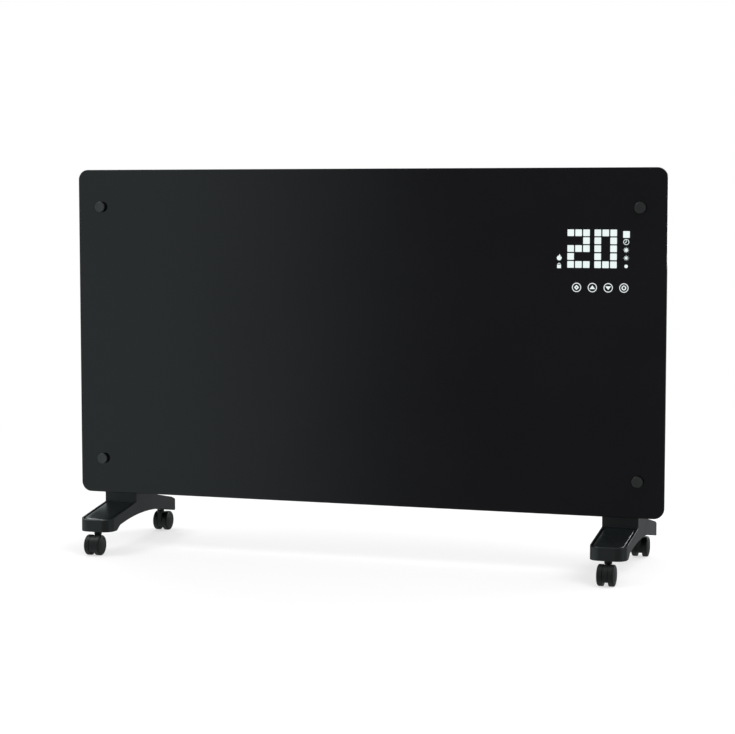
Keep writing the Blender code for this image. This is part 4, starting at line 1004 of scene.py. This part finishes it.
def make_world():
    """White to the camera, a soft dome for the object's light, and a dimmer quarter in its gloss."""
    world = bpy.data.worlds.new("studio")
    bpy.context.scene.world = world
    world.use_nodes = True
    tree = world.node_tree
    tree.nodes.clear()
    place = tree.nodes.new("ShaderNodeTexCoord").outputs["Generated"]
    split = tree.nodes.new("ShaderNodeSeparateXYZ")
    tree.links.new(place, split.inputs[0])
    bearing = maths(tree, "ARCTAN2", split.outputs["X"], split.outputs["Y"])
    edges = []
    for low, high, start, end in DIM_EDGES:
        edges.append(spread(tree, bearing, low, high, math.radians(start), math.radians(end)))
    front_colour = blend_colours(tree, maths(tree, "MINIMUM", *edges), DIM_COLOUR, GLOSS_COLOUR)
    behind = spread(tree, split.outputs["Y"], 0.0, 1.0, *BEHIND)
    beneath = spread(tree, split.outputs["Z"], 1.0, 0.0, *BENEATH)
    floor_share = maths(tree, "MULTIPLY", behind, beneath)
    gloss_colour = blend_colours(tree, floor_share, GLOSS_COLOUR, FLOOR_GLOSS, front_colour)
    path = tree.nodes.new("ShaderNodeLightPath")
    gloss = background(tree, 1.0, gloss_colour)
    white = background(tree, 1.0)
    dome = background(tree, DOME)
    seen = maths(tree, "MAXIMUM", path.outputs["Is Camera Ray"], path.outputs["Is Transmission Ray"])
    unseen = mix_shaders(tree, path.outputs["Is Glossy Ray"], dome, gloss)
    output = tree.nodes.new("ShaderNodeOutputWorld")
    tree.links.new(mix_shaders(tree, seen, unseen, white), output.inputs["Surface"])


def soft_lamp(name, place, target, size, power, in_gloss=False):
    """A rectangular lamp at place that faces target. It shows in gloss only if in_gloss is True."""
    data = bpy.data.lights.new(name, "AREA")
    data.shape = "RECTANGLE"
    data.size, data.size_y = size
    data.energy = power
    lamp = bpy.data.objects.new(name, data)
    bpy.context.scene.collection.objects.link(lamp)
    lamp.location = place
    lamp.rotation_euler = (Vector(target) - Vector(place)).to_track_quat("-Z", "Y").to_euler()
    lamp.visible_camera = False
    lamp.visible_glossy = in_gloss


make_world()
make_floor()
soft_lamp("key", (1.9, -1.2, 2.4), LAMP_TARGET, (1.8, 1.8), 42.0)
soft_lamp("fill", (-1.5, -0.4, 2.4), LAMP_TARGET, (1.1, 1.1), 18.0, in_gloss=True)
soft_lamp("back", (1.3, 1.6, 1.9), LAMP_TARGET, (1.3, 1.3), 22.0, in_gloss=True)
soft_lamp("strip", (1.15, 2.0, 0.62), (0.36, 0.0, 0.1), (0.8, 0.6), 10.0, in_gloss=True)
soft_lamp("glint_left", (-1.30, 1.05, 1.60), (-0.36, -0.1, 0.05), (0.5, 0.55), 7.0, in_gloss=True)

camera_data = bpy.data.cameras.new("camera")
camera_data.sensor_width = 36.0
camera_data.lens = LENS
camera = bpy.data.objects.new("camera", camera_data)
bpy.context.scene.collection.objects.link(camera)
camera.location = CAMERA_AT
camera.rotation_euler = [math.radians(angle) for angle in CAMERA_TURN]
bpy.context.scene.camera = camera
bpy.context.scene.view_settings.view_transform = "Standard"
